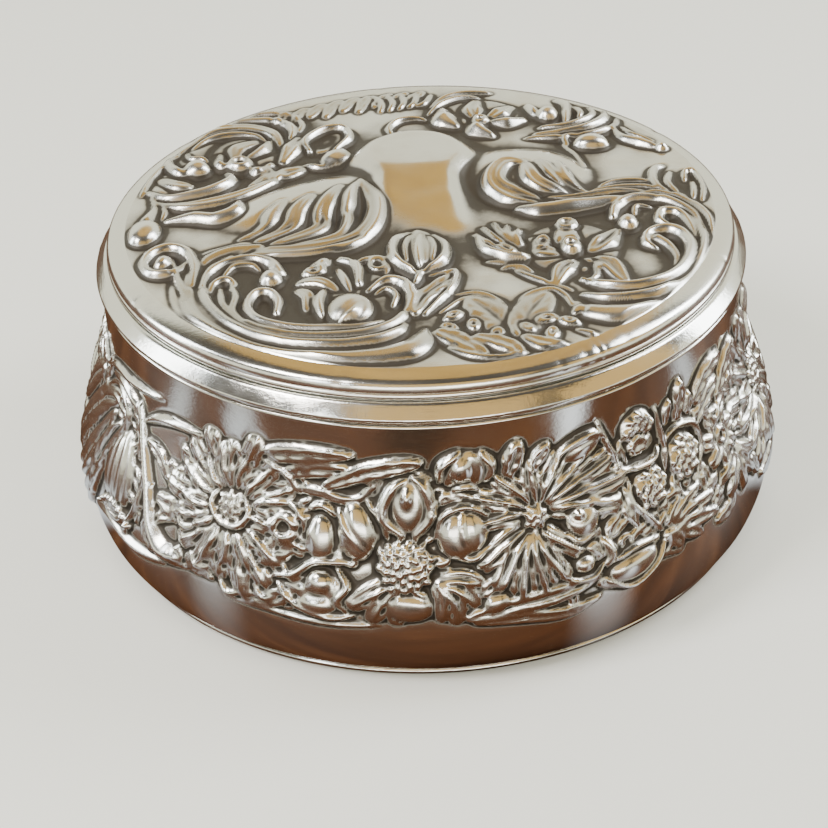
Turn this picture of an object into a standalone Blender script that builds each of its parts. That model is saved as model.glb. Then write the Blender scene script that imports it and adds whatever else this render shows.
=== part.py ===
"""Round silver-plated trinket box with a lift-off lid.

The box is a spun and chased body with a soldered mouth moulding, a foot wire and a let-in base
plate.  It is lined with card and padded cloth.  The lid is a shallow pressed cap with a rolled
shoulder, a lip wire, and a flange that drops into the mouth of the body.

Units are metres, +Z is up, and the origin is the middle of the surface that the box stands on.
"""

import math

import bpy

MM = 0.001

# ---- driving dimensions ---------------------------------------------------------------------

CLEARANCE = 0.3 * MM            # between pieces that touch or are soldered together
LIFT_CLEARANCE = 0.5 * MM       # running clearance of the lid's flange in the mouth
SHEET = 0.7 * MM                # metal sheet of the body, the lid and the flange

NECK_RADIUS = 61.6 * MM         # outside of the plain neck, which sets the box's diameter
WALL_TOP = 52.0 * MM            # height of the wall's upper edge, under the mouth moulding
NECK_HEIGHT = 8.0 * MM          # plain upright part of the wall
BELLY_SWELL = 7.2 * MM          # how far the widest part stands out over the neck
BELLY_HEIGHT = 13.0 * MM        # height of the widest part above the table

FOOT_SPREAD = 3.6 * MM          # how far the foot wire stands out over the neck
FOOT_WIDTH = 2.4 * MM
FOOT_HEIGHT = 1.6 * MM
BASE_THICKNESS = 0.9 * MM

RIM_HEIGHT = 3.8 * MM           # the moulding round the mouth
RIM_FLARE = 0.8 * MM            # how far its lower edge stands out over the neck
RIM_WIDTH = 3.1 * MM

LID_SET_BACK = 1.6 * MM         # the lid is this much smaller in radius than the neck
SHOULDER_WIDTH = 3.8 * MM       # rolled shoulder, across and up
SHOULDER_RISE = 3.0 * MM
LIP_WIRE_RADIUS = 0.4 * MM
BOSS_RADIUS = 26.0 * MM         # smooth swelling in the middle of the lid
BOSS_HEIGHT = 4.0 * MM
FLANGE_DROP = 5.4 * MM          # how far the flange reaches below the top of the mouth

CARD_THICKNESS = 1.2 * MM       # pasteboard behind the cloth
WALL_PAD_THICKNESS = 1.2 * MM
FLOOR_PAD_THICKNESS = 5.0 * MM
LID_PAD_THICKNESS = 3.2 * MM
PAD_EDGE = 1.2 * MM             # rounding at the rim of the cushions

# ---- heights and radii that follow from them ---------------------------------------------------

FOOT_RADIUS = NECK_RADIUS + FOOT_SPREAD
BELLY_RADIUS = NECK_RADIUS + BELLY_SWELL
NECK_START = WALL_TOP - NECK_HEIGHT
LID_RADIUS = NECK_RADIUS - LID_SET_BACK

BASE_BOTTOM = FOOT_HEIGHT + CLEARANCE
BASE_TOP = BASE_BOTTOM + BASE_THICKNESS
WALL_BOTTOM = BASE_BOTTOM
WALL_BOTTOM_RADIUS = FOOT_RADIUS - CLEARANCE

RIM_BOTTOM = WALL_TOP + CLEARANCE
RIM_TOP = RIM_BOTTOM + RIM_HEIGHT
RIM_OUTER_RADIUS = NECK_RADIUS + RIM_FLARE
MOUTH_RADIUS = RIM_OUTER_RADIUS - RIM_WIDTH

LIP_BOTTOM = RIM_TOP + CLEARANCE
LIP_TOP = LIP_BOTTOM + 2 * LIP_WIRE_RADIUS
CROWN_BOTTOM = LIP_TOP + CLEARANCE
LID_PLANE = CROWN_BOTTOM + SHOULDER_RISE
SHOULDER_START = LID_RADIUS - SHOULDER_WIDTH

FLANGE_OUTER_RADIUS = MOUTH_RADIUS - LIFT_CLEARANCE
FLANGE_INNER_RADIUS = FLANGE_OUTER_RADIUS - SHEET
FLANGE_BOTTOM = RIM_TOP - FLANGE_DROP
LID_INSIDE_TOP = LID_PLANE - SHEET

CARD_OUTER_RADIUS = MOUTH_RADIUS - CLEARANCE
CARD_INNER_RADIUS = CARD_OUTER_RADIUS - CARD_THICKNESS
LINING_OUTER_RADIUS = CARD_INNER_RADIUS - CLEARANCE
LINING_INNER_RADIUS = LINING_OUTER_RADIUS - WALL_PAD_THICKNESS
CARD_BOTTOM = BASE_TOP + CLEARANCE
LINING_TOP = FLANGE_BOTTOM - LIFT_CLEARANCE
FLOOR_CARD_RADIUS = LINING_OUTER_RADIUS
FLOOR_CARD_TOP = CARD_BOTTOM + CARD_THICKNESS
FLOOR_PAD_BOTTOM = FLOOR_CARD_TOP + CLEARANCE
FLOOR_PAD_RADIUS = LINING_INNER_RADIUS - CLEARANCE
LINING_BOTTOM = FLOOR_CARD_TOP + CLEARANCE

LID_CARD_RADIUS = FLANGE_INNER_RADIUS - CLEARANCE

ROUND_STEPS = 64                # facets round every turned piece
BELLY_STEPS = 4                 # facets up the body wall, below the belly
SWELL_STEPS = 7                 # and from the belly to the neck
BOSS_STEPS = 4
SHOULDER_STEPS = 4
WIRE_STEPS = 4                  # facets across half a wire
PAD_EDGE_STEPS = 2
MERGE_DISTANCE = 0.00002

# ---- helpers ----------------------------------------------------------------------------------


def clear_scene():
    """Remove whatever the new file came with."""
    for old in list(bpy.data.objects):
        bpy.data.objects.remove(old, do_unlink=True)


def metal_or_cloth(name, colour, roughness, metallic):
    """Principled material with the colour, roughness and metallic value of one sub-part."""
    material = bpy.data.materials.new(name)
    material.use_nodes = True
    shader = material.node_tree.nodes["Principled BSDF"]
    shader.inputs["Base Color"].default_value = (*colour, 1.0)
    shader.inputs["Roughness"].default_value = roughness
    shader.inputs["Metallic"].default_value = metallic
    return material


def turned(name, profile, closed, material, parent):
    """Turn a profile of (radius, height) points about the vertical axis.

    A profile runs down its outer side.  A closed one makes a ring; an open one starts and ends
    on the axis and makes a disc or a cap.
    """
    mesh = bpy.data.meshes.new(name)
    count = len(profile)
    edges = [(i, i + 1) for i in range(count - 1)]
    if closed:
        edges.append((count - 1, 0))
    mesh.from_pydata([(radius, 0.0, height) for radius, height in profile], edges, [])
    piece = bpy.data.objects.new(name, mesh)
    BOX.objects.link(piece)
    piece.parent = parent
    piece.matrix_parent_inverse = parent.matrix_world.inverted()
    screw = piece.modifiers.new("turn", "SCREW")
    screw.axis = "Z"
    screw.angle = math.tau
    screw.steps = ROUND_STEPS
    screw.render_steps = ROUND_STEPS
    screw.use_merge_vertices = True
    screw.merge_threshold = MERGE_DISTANCE
    screw.use_smooth_shade = True
    mesh.materials.append(material)
    return piece


def section(inner, outer, bottom, top):
    """Rectangular ring section, running down its outer side."""
    return [(outer, top), (outer, bottom), (inner, bottom), (inner, top)]


def disc(radius, bottom, top):
    """Plain disc, from the axis out and back."""
    return [(0.0, top), (radius, top), (radius, bottom), (0.0, bottom)]


def arc(centre, radius, start, end, steps):
    """Points on an arc from one angle to another, in degrees from the horizontal."""
    points = []
    for i in range(steps + 1):
        angle = math.radians(start + (end - start) * i / steps)
        points.append((centre[0] + radius * math.cos(angle), centre[1] + radius * math.sin(angle)))
    return points


def cushion(radius, bottom, top):
    """Disc with both its edges rounded."""
    high = arc((radius - PAD_EDGE, top - PAD_EDGE), PAD_EDGE, 90, 0, PAD_EDGE_STEPS)
    low = arc((radius - PAD_EDGE, bottom + PAD_EDGE), PAD_EDGE, 0, -90, PAD_EDGE_STEPS)
    return [(0.0, top)] + high + low + [(0.0, bottom)]


# ---- the box ----------------------------------------------------------------------------------


def wall_radius(height):
    """Outside radius of the bombe wall: a quarter ellipse below the belly, a wave above it."""
    if height < BELLY_HEIGHT:
        rise = (BELLY_HEIGHT - height) / (BELLY_HEIGHT - WALL_BOTTOM)
        swell = math.sqrt(max(0.0, 1.0 - rise * rise))
        return WALL_BOTTOM_RADIUS + (BELLY_RADIUS - WALL_BOTTOM_RADIUS) * swell
    if height < NECK_START:
        rise = (height - BELLY_HEIGHT) / (NECK_START - BELLY_HEIGHT)
        return NECK_RADIUS + (BELLY_RADIUS - NECK_RADIUS) * (0.5 + 0.5 * math.cos(math.pi * rise))
    return NECK_RADIUS


def body_wall(parent):
    """Spun wall of one thickness, open at the mouth and at the foot."""
    swell = [
        NECK_START + (BELLY_HEIGHT - NECK_START) * i / SWELL_STEPS for i in range(SWELL_STEPS)
    ]
    belly = [
        BELLY_HEIGHT - (BELLY_HEIGHT - WALL_BOTTOM) * math.sin(0.5 * math.pi * i / BELLY_STEPS)
        for i in range(BELLY_STEPS + 1)
    ]
    outside = [(wall_radius(height), height) for height in [WALL_TOP] + swell + belly]
    inside = [(radius - SHEET, height) for radius, height in reversed(outside)]
    return turned("body_wall", outside + inside, True, SILVER, parent)


def mouth_rim(parent):
    """Convex moulding on the wall's upper edge, flaring to a crisp lower arris."""
    crest = RIM_OUTER_RADIUS - 0.35 * RIM_FLARE
    top_radius = RIM_OUTER_RADIUS - 1.6 * RIM_FLARE
    outside = [
        (top_radius, RIM_TOP),
        (top_radius + 0.4 * (crest - top_radius), RIM_TOP - 0.10 * RIM_HEIGHT),
        (crest - 0.1 * RIM_FLARE, RIM_TOP - 0.38 * RIM_HEIGHT),
        (crest, RIM_TOP - 0.62 * RIM_HEIGHT),
        (RIM_OUTER_RADIUS, RIM_BOTTOM + 0.10 * RIM_HEIGHT),
        (RIM_OUTER_RADIUS, RIM_BOTTOM),
    ]
    inside = [(MOUTH_RADIUS, RIM_BOTTOM), (MOUTH_RADIUS, RIM_TOP)]
    return turned("mouth_rim", outside + inside, True, SILVER, parent)


def foot_wire(parent):
    """D-section wire that the box stands on, flat underneath."""
    radius = 0.5 * FOOT_HEIGHT
    outside = arc((FOOT_RADIUS - radius, radius), radius, 90, -90, WIRE_STEPS)
    inside = [(FOOT_RADIUS - FOOT_WIDTH, 0.0), (FOOT_RADIUS - FOOT_WIDTH, FOOT_HEIGHT)]
    return turned("foot_wire", outside + inside, True, SILVER, parent)


def base_plate(parent):
    """Flat base let into the wall above the foot wire."""
    radius = WALL_BOTTOM_RADIUS - SHEET - CLEARANCE
    return turned("base_plate", disc(radius, BASE_BOTTOM, BASE_TOP), False, SILVER, parent)


def wall_card(parent):
    """Pasteboard cylinder that carries the wall lining."""
    profile = section(CARD_INNER_RADIUS, CARD_OUTER_RADIUS, CARD_BOTTOM, LINING_TOP)
    return turned("wall_card", profile, True, CARD, parent)


def wall_lining(parent):
    """Padded cloth on the inside of the pasteboard cylinder."""
    profile = section(LINING_INNER_RADIUS, LINING_OUTER_RADIUS, LINING_BOTTOM, LINING_TOP)
    return turned("wall_lining", profile, True, CLOTH, parent)


def floor_card(parent):
    """Pasteboard disc on the base plate."""
    profile = disc(FLOOR_CARD_RADIUS, CARD_BOTTOM, FLOOR_CARD_TOP)
    return turned("floor_card", profile, False, CARD, parent)


def floor_pad(parent):
    """Cushion on the floor of the box."""
    top = FLOOR_PAD_BOTTOM + FLOOR_PAD_THICKNESS
    return turned("floor_pad", cushion(FLOOR_PAD_RADIUS, FLOOR_PAD_BOTTOM, top), False, CLOTH, parent)


# ---- the lid ----------------------------------------------------------------------------------


def boss_lift(radius):
    """Height of the swelling in the middle of the lid above its plane."""
    return BOSS_HEIGHT * (0.5 + 0.5 * math.cos(math.pi * min(1.0, radius / BOSS_RADIUS)))


def under_shoulder(radius):
    """Height of the crown's inner face above a radius, under the rolled shoulder."""
    across = max(0.0, radius - SHOULDER_START) / (SHOULDER_WIDTH - SHEET)
    return CROWN_BOTTOM + (SHOULDER_RISE - SHEET) * math.sqrt(1.0 - across * across)


def lid_crown(parent):
    """Pressed cap of one thickness: boss, flat border and rolled shoulder."""
    steps = [BOSS_RADIUS * i / BOSS_STEPS for i in range(BOSS_STEPS + 1)]
    shoulder = []
    inner_shoulder = []
    for cosine, sine in arc((0.0, 0.0), 1.0, 90, 0, SHOULDER_STEPS):
        outer = (SHOULDER_START + SHOULDER_WIDTH * cosine, CROWN_BOTTOM + SHOULDER_RISE * sine)
        inner = (
            SHOULDER_START + (SHOULDER_WIDTH - SHEET) * cosine,
            CROWN_BOTTOM + (SHOULDER_RISE - SHEET) * sine,
        )
        shoulder.append(outer)
        inner_shoulder.append(inner)
    outside = [(radius, LID_PLANE + boss_lift(radius)) for radius in steps] + shoulder
    inside = [(radius, LID_INSIDE_TOP + boss_lift(radius)) for radius in reversed(steps)]
    profile = outside + list(reversed(inner_shoulder)) + inside
    return turned("lid_crown", profile, False, SILVER, parent)


def lid_lip_wire(parent):
    """Half-round wire that stiffens the edge of the lid."""
    outer = LID_RADIUS + 0.3 * LIP_WIRE_RADIUS
    centre = (outer - LIP_WIRE_RADIUS, LIP_BOTTOM + LIP_WIRE_RADIUS)
    outside = arc(centre, LIP_WIRE_RADIUS, 90, -90, WIRE_STEPS)
    inner = LID_RADIUS - SHEET - CLEARANCE
    profile = outside + [(inner, LIP_BOTTOM), (inner, LIP_TOP)]
    return turned("lid_lip_wire", profile, True, SILVER, parent)


def lid_flange(parent):
    """Plain ring under the lid that drops into the mouth and keeps the lid in place."""
    top = under_shoulder(FLANGE_OUTER_RADIUS) - CLEARANCE
    profile = section(FLANGE_INNER_RADIUS, FLANGE_OUTER_RADIUS, FLANGE_BOTTOM, top)
    return turned("lid_flange", profile, True, SILVER, parent)


def lid_card_top():
    """Height of the card's upper face, where its edge meets the rolled shoulder."""
    return under_shoulder(LID_CARD_RADIUS) - CLEARANCE


def lid_card(parent):
    """Pasteboard disc under the pressed sheet."""
    top = lid_card_top()
    profile = disc(LID_CARD_RADIUS, top - CARD_THICKNESS, top)
    return turned("lid_card", profile, False, CARD, parent)


def lid_pad(parent):
    """Thin cushion inside the lid."""
    top = lid_card_top() - CARD_THICKNESS - CLEARANCE
    profile = cushion(LID_CARD_RADIUS, top - LID_PAD_THICKNESS, top)
    return turned("lid_pad", profile, False, CLOTH, parent)


# ---- assembly ---------------------------------------------------------------------------------

clear_scene()
BOX = bpy.data.collections.new("trinket_box")
bpy.context.scene.collection.children.link(BOX)

SILVER = metal_or_cloth("silver", (0.72, 0.71, 0.66), 0.22, 1.0)
CARD = metal_or_cloth("pasteboard", (0.42, 0.33, 0.22), 0.85, 0.0)
CLOTH = metal_or_cloth("satin", (0.62, 0.36, 0.34), 0.5, 0.0)

body_frame = bpy.data.objects.new("body_frame", None)
lid_frame = bpy.data.objects.new("lid_frame", None)
lid_frame.location = (0.0, 0.0, LIP_BOTTOM)
for frame in (body_frame, lid_frame):
    BOX.objects.link(frame)
bpy.context.view_layer.update()

for build in (body_wall, mouth_rim, foot_wire, base_plate, wall_card, wall_lining, floor_card, floor_pad):
    build(body_frame)
for build in (lid_crown, lid_lip_wire, lid_flange, lid_card, lid_pad):
    build(lid_frame)
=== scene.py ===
# %% [markdown]
# # A chased silver trinket box
#
# The metal of this box is thin sheet.  A chaser pushes the flowers and scrolls up from behind and
# then sharpens them from the front, so the ornament is nothing but height on one continuous skin.
# This lesson makes it in the same way.  The ornament is worked as a field of heights on a flat
# drawing, and the sheet of each part is then bent to its real shape and lifted by those heights.
#
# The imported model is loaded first.  It says how large everything is and where it sits.

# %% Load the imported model
import math

import bpy
import numpy as np
from mathutils import Matrix, Vector


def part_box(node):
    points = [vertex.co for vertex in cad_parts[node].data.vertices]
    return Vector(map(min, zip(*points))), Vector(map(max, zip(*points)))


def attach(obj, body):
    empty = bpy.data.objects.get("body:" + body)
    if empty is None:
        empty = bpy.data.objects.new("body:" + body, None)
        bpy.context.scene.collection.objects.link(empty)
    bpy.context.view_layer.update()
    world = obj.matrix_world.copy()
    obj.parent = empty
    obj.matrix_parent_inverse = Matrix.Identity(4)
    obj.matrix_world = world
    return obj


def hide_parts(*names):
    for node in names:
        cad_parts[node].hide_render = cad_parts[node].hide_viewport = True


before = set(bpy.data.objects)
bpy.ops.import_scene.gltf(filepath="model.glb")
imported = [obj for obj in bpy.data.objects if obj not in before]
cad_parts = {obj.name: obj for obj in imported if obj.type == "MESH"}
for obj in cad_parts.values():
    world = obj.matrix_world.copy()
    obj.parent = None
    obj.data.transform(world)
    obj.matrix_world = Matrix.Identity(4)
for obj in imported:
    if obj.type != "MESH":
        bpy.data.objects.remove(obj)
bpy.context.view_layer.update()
MM = 0.001

# %% [markdown]
# Every turned part of the model can be described by its section, a run of radius and height
# pairs.  Reading the sections back from the imported model keeps the fine sheets made here on the
# same curves as the model's solids.


# %% Read sections and heights from the model
def outside_of(node):
    """The outermost radius at each height of a turned part, from the bottom up, in millimetres."""
    widest = {}
    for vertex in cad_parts[node].data.vertices:
        radius, height = math.hypot(vertex.co.x, vertex.co.y) / MM, round(vertex.co.z / MM, 2)
        widest[height] = max(radius, widest.get(height, 0.0))
    heights = sorted(widest)
    return np.array([widest[height] for height in heights]), np.array(heights)


def extent(node):
    """Outer radius, lowest and highest point of a part, in millimetres."""
    low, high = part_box(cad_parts[node].name)
    return high.x / MM, low.z / MM, high.z / MM


WALL_RADII, WALL_HEIGHTS = outside_of("body_wall")
RIM_RADIUS, RIM_LOW, RIM_TOP = extent("mouth_rim")
FOOT_RADIUS, _, FOOT_TOP = extent("foot_wire")
LID_RADIUS, LID_LOW, LID_CREST = extent("lid_crown")
LIP_RADIUS, LIP_LOW, LIP_TOP = extent("lid_lip_wire")
FLANGE_RADIUS, FLANGE_LOW, FLANGE_TOP = extent("lid_flange")
SHEET = 0.7  # thickness of the silver, in millimetres
NECK_RADIUS = WALL_RADII[-1]
print("neck", NECK_RADIUS, "belly", WALL_RADII.max(), "lid", LID_RADIUS, "crest", LID_CREST)
# %% [markdown]
# ## Chasing tools
#
# A chaser works with a few dozen punches.  Each one leaves a mark of its own section, and a line
# of marks makes a ridge, a vein or a petal.  The tools here do that on a grid of heights.  A
# stroke follows a smooth path with a changing width, and every point of the grid learns how far
# along the stroke it is and how far across.  A ridge, a leaf or a petal is then one formula of
# those two numbers.  Each mark also cuts a fine groove round itself, which is what makes one
# petal stand clear of the next.


# %% Smooth paths and soft blurs
def smooth_path(points, grain=0.3):
    """A dense, even run of places through the points, and how far along the points each is."""
    places = np.array(points, float)
    ends = np.vstack([2 * places[0] - places[1], places, 2 * places[-1] - places[-2]])
    run, marks = [], []
    for i in range(len(places) - 1):
        before, start, stop, after = ends[i : i + 4]
        count = max(2, int(np.linalg.norm(stop - start) / grain))
        t = np.linspace(0.0, 1.0, count, endpoint=False)[:, None]
        bend = 2 * before - 5 * start + 4 * stop - after
        twist = 3 * start - before - 3 * stop + after
        run.append(0.5 * (2 * start + (stop - before) * t + bend * t**2 + twist * t**3))
        marks.append(i + t[:, 0])
    return np.vstack(run + [places[-1:]]), np.concatenate(marks + [[len(places) - 1.0]])


def blurred(field, reach):
    """The field softened by a bell of that reach, in grid steps."""
    half = max(1, int(3 * reach))
    bell = np.exp(-0.5 * (np.arange(-half, half + 1) / reach) ** 2)
    bell /= bell.sum()
    for axis in (0, 1):
        spread = [(half, half) if a == axis else (0, 0) for a in (0, 1)]
        padded = np.pad(field, spread, mode="edge")
        total = np.zeros_like(field)
        for k, weight in enumerate(bell):
            cut = [slice(None), slice(None)]
            cut[axis] = slice(k, k + field.shape[axis])
            total += weight * padded[tuple(cut)]
        field = total
    return field


# %% The chaser's sheet
class Mark:
    """Where one stroke falls: its window on the sheet, and each point's place in the stroke."""

    def __init__(self, window, along, across, reach, beyond, widest):
        self.window, self.along, self.across = window, along, across
        self.reach, self.beyond, self.widest = reach, beyond, widest


SPIRAL = 137.5  # degrees from one seed to the next in a flower's centre


class Sheet:
    """Heights over a flat drawing, in millimetres, worked up one stroke at a time."""

    GROOVE = 0.35  # depth of the line cut round a mark, in millimetres
    GROOVE_WIDTH = 0.55
    STROKE_REACH = 1_500_000  # grid points times path places looked at in one go

    def __init__(self, low, high, grain, lean=0.0, spread=1.0):
        self.low, self.grain, self.lean, self.spread = low, grain, lean, spread
        self.shift = 0.0
        self.x = np.arange(low[0], high[0] + grain, grain)
        self.y = np.arange(low[1], high[1] + grain, grain)
        self.ground = np.zeros((len(self.y), len(self.x)))
        self.heights = np.zeros_like(self.ground)
        self.soot = np.zeros_like(self.ground)

    def at(self, field, x, y):
        """A field's value at places on the drawing, blended between grid points."""
        u = np.clip((np.asarray(x) - self.low[0]) / self.grain, 0, len(self.x) - 1.001)
        v = np.clip((np.asarray(y) - self.low[1]) / self.grain, 0, len(self.y) - 1.001)
        i, j = u.astype(int), v.astype(int)
        u, v = u - i, v - j
        near = field[j, i] * (1 - u) + field[j, i + 1] * u
        return near * (1 - v) + (field[j + 1, i] * (1 - u) + field[j + 1, i + 1] * u) * v

    def stood(self, places, height):
        """Places drawn as seen leaning back, moved to where a mark of that height stands."""
        drawn = np.array(places, float)
        drawn[:, 0] = (drawn[:, 0] + self.shift) * self.spread
        moved = drawn.copy()
        for _ in range(4):
            rise = self.at(self.ground, moved[:, 0], moved[:, 1]) + 0.7 * height
            moved[:, 1] = drawn[:, 1] - self.lean * rise
        return moved

    def window(self, low, high):
        """The slice of the grid between two corners, with its x and y."""
        span = []
        for axis, line in ((1, self.y), (0, self.x)):
            first = int(np.clip((low[axis] - self.low[axis]) / self.grain, 0, len(line) - 2))
            last = int(np.clip((high[axis] - self.low[axis]) / self.grain + 2, 1, len(line)))
            span.append(slice(first, max(first + 1, last)))
        x, y = np.meshgrid(self.x[span[1]], self.y[span[0]])
        return tuple(span), x, y

    def stroke(self, points, width, height, taper):
        """Marks out a stroke of that half width, pinched to taper of it at its two ends."""
        places, marks = smooth_path(self.stood(points, height))
        along = marks / marks[-1]
        if np.ndim(width):
            widths = np.interp(along, np.linspace(0, 1, len(width)), width)
        else:
            start, stop = taper if np.ndim(taper) else (taper, taper)
            end = np.where(along < 0.5, start, stop)
            widths = width * (end + (1 - end) * np.sin(np.pi * along) ** 0.6)
        margin = widths.max() + 3 * self.GROOVE_WIDTH
        window, x, y = self.window(places.min(0) - margin, places.max(0) + margin)
        forward = np.gradient(places, axis=0)
        forward /= np.linalg.norm(forward, axis=1)[:, None] + 1e-9
        flat_x, flat_y = x.ravel(), y.ravel()
        nearest = np.empty(flat_x.size, int)
        block = max(1, self.STROKE_REACH // len(places))
        for i in range(0, flat_x.size, block):
            dx = flat_x[i : i + block, None] - places[None, :, 0]
            dy = flat_y[i : i + block, None] - places[None, :, 1]
            nearest[i : i + block] = np.argmin((dx * dx + dy * dy) / widths**2, axis=1)
        dx, dy = flat_x - places[nearest, 0], flat_y - places[nearest, 1]
        wide = widths[nearest]
        reach = np.hypot(dx, dy) / wide
        across = (forward[nearest, 0] * dy - forward[nearest, 1] * dx) / wide
        fit = lambda values: values.reshape(x.shape)
        beyond = fit((reach - 1) * wide)
        return Mark(window, fit(along[nearest]), fit(across), fit(reach), beyond, fit(wide))

    def press(self, mark, shape, groove=1.0):
        """Raises the shape inside a mark, and cuts the groove round it."""
        there = self.heights[mark.window]
        cut = self.GROOVE * groove * np.exp(-((mark.beyond / self.GROOVE_WIDTH) ** 2))
        lowered = np.maximum(there - cut, np.minimum(there, -0.5 * self.GROOVE * groove))
        lowered = np.where(mark.beyond < 2.5 * self.GROOVE_WIDTH, lowered, there)
        self.heights[mark.window] = np.where(mark.beyond < 0, np.maximum(lowered, shape), lowered)

    def ridge(self, points, width, height, taper=0.3, flutes=0, tilt=0.0, hollow=0.0):
        """A rounded ridge, plain, fluted lengthwise, higher on one side, or hollowed."""
        mark = self.stroke(points, width, height, taper)
        dome = 0.62 * np.sqrt(np.clip(1 - mark.reach**2, 0, 1)) + 0.38 * np.clip(1 - mark.reach, 0, 1)
        rise = 1.08 * height * (mark.widest / mark.widest.max()) ** 0.8
        shape = rise * dome * (1 + tilt * mark.across) / (1 + abs(tilt))
        shape *= 1 - hollow * np.exp(-((mark.across / 0.45) ** 2))
        if flutes:
            wave = 0.5 - 0.5 * np.cos(np.pi * flutes * (mark.across + 1))
            shape *= 0.56 + 0.44 * wave
        self.press(mark, shape)

    LEAF_TAPER = (0.3, 0.05)  # width at the stalk and at the tip, as shares of the full width
    VEIN_SLANT = 0.35

    def leaf(self, points, width, height, veins=5, depth=0.4):
        """A leaf with a cut midrib and slanting side veins."""
        mark = self.stroke(points, width, height, self.LEAF_TAPER)
        side = np.abs(mark.across)
        dome = np.clip(1 - mark.reach**2, 0, 1) ** 0.45
        swell = 0.65 + 0.35 * np.clip(side * 1.6, 0, 1)
        vein = np.clip(np.cos(2 * np.pi * (mark.along * veins - side * self.VEIN_SLANT * veins)), 0, 1) ** 3
        rib = np.exp(-((side / 0.14) ** 2))
        shape = height * dome * swell * (1 - depth * np.maximum(rib, 0.7 * vein * (side > 0.1)))
        self.press(mark, shape)

    def oval(self, x, y, wide, tall, height, turn=0.0, ribs=0, hole=0.0, groove=1.0):
        """A domed bud or bead, smooth or ribbed, with a hole sunk in its top if asked."""
        (x, y), = self.stood([(x, y)], height)
        size = max(wide, tall) + 3 * self.GROOVE_WIDTH
        window, grid_x, grid_y = self.window((x - size, y - size), (x + size, y + size))
        c, s = math.cos(math.radians(turn)), math.sin(math.radians(turn))
        a = ((grid_x - x) * c + (grid_y - y) * s) / wide
        b = ((grid_y - y) * c - (grid_x - x) * s) / tall
        reach = np.hypot(a, b)
        shape = height * np.sqrt(np.clip(1 - reach**2, 0, 1))
        if ribs:
            bow = a / np.sqrt(np.clip(1 - b**2, 0.05, 1))
            shape *= 0.8 + 0.2 * np.abs(np.cos(0.5 * np.pi * ribs * bow))
        if hole:
            shape -= 0.75 * height * np.exp(-((reach / hole) ** 4))
        beyond = (reach - 1) * min(wide, tall)
        self.press(Mark(window, b, a, reach, beyond, reach), shape, groove)

    def smoke(self, x, y, wide, tall, amount, turn=0.0):
        """Darkens the ground between the marks, where polish never reaches."""
        grid_x, grid_y = np.meshgrid(self.x - (x + self.shift) * self.spread, self.y - y)
        c, s = math.cos(math.radians(turn)), math.sin(math.radians(turn))
        reach = ((grid_x * c + grid_y * s) / wide) ** 2 + ((grid_y * c - grid_x * s) / tall) ** 2
        self.soot = np.maximum(self.soot, amount * np.exp(-(reach**1.5)))

    def fan(self, root, bend, tips):
        """Runs from one root to each tip, bowed towards bend, and what follows each tip."""
        for tip_x, tip_y, *rest in tips:
            middle = (0.5 * (tip_x + bend[0]), 0.5 * (tip_y + bend[1]))
            yield [root, middle, (tip_x, tip_y)], *rest

    def seeds(self, x, y, radius, height, seed, count):
        """A domed cushion of seeds, set in the spiral that a flower's centre grows in."""
        self.oval(x, y, radius, radius, 0.8 * height)
        for i in range(count):
            out, way = radius * math.sqrt((i + 0.5) / count), math.radians(SPIRAL * i)
            place = (x + out * math.cos(way) / self.spread, y + out * math.sin(way))
            lift = height * (1.12 - 0.5 * (out / radius) ** 2)
            self.oval(*place, seed, seed, lift, groove=0.35)

    def petals(self, x, y, inner, outer, count, width, height, turn=0.0, stretch=1.0, flutes=3):
        """A ring of fluted petals that swell towards their tips."""
        for i in range(count):
            way = math.radians(turn + 360.0 * i / count)
            out = outer * (0.93 + 0.12 * math.sin(2.4 * i + 1))
            run = [
                (x + r * math.cos(way + bow) / self.spread, y + stretch * r * math.sin(way + bow))
                for r, bow in ((inner, 0.0), (0.5 * (inner + out), 0.07), (out, 0.02))
            ]
            self.ridge(run, (0.55 * width, width, 0.8 * width), height, flutes=flutes)
# %% [markdown]
# ## The lid's ornament
#
# The lid is a flat plate with a smooth puffed cross swelling out of its middle, and two large
# scrolled leaves growing from the cross round two bunches of flowers.  The drawing is laid out as
# it looks from the front, leaning back, because that is how its curves were judged.  The sheet
# moves each mark forward by what its height hides.  First comes the soft ground: pillows that
# melt into each other.

# %% The puffed cross in the middle of the lid
lid = Sheet((-61.0, -61.0), (61.0, 61.0), 0.2, lean=1.55)


def pillow(sheet, x, y, wide, tall, height, turn):
    """A smooth swelling with a soft foot, as a height over the whole sheet."""
    grid_x, grid_y = np.meshgrid(sheet.x - x, sheet.y - y)
    c, s = math.cos(math.radians(turn)), math.sin(math.radians(turn))
    reach = ((grid_x * c + grid_y * s) / wide) ** 2 + ((grid_y * c - grid_x * s) / tall) ** 2
    return height * np.clip(1 - reach**1.4, 0, 1) ** 1.3


def melted(fields):
    """The highest of several fields, with the creases between them rounded."""
    sharp = 2.2
    return np.log1p(sum(np.exp(sharp * field) - 1 for field in fields)) / sharp


def eased(values, low, high):
    """0 at low, 1 at high, and smooth between."""
    t = np.clip((values - low) / (high - low), 0, 1)
    return t * t * (3 - 2 * t)


def middle_arm(sheet):
    """The arm that runs front to back: a straight ramp up from the front, then a broad top."""
    x, y = np.meshgrid(sheet.x, sheet.y)
    ramp = np.clip((y + 10.5) / 23.5, 0, 1)
    half = 6.6 - 0.8 * eased(y, -8.0, 6.0) + 3.6 * eased(y, 10.0, 20.0)
    out = np.hypot(x + 0.6, 0.95 * np.clip(y - 17.0, 0, None))
    return 4.2 * ramp * (1 - eased(out, half, half + 6.0))


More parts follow.
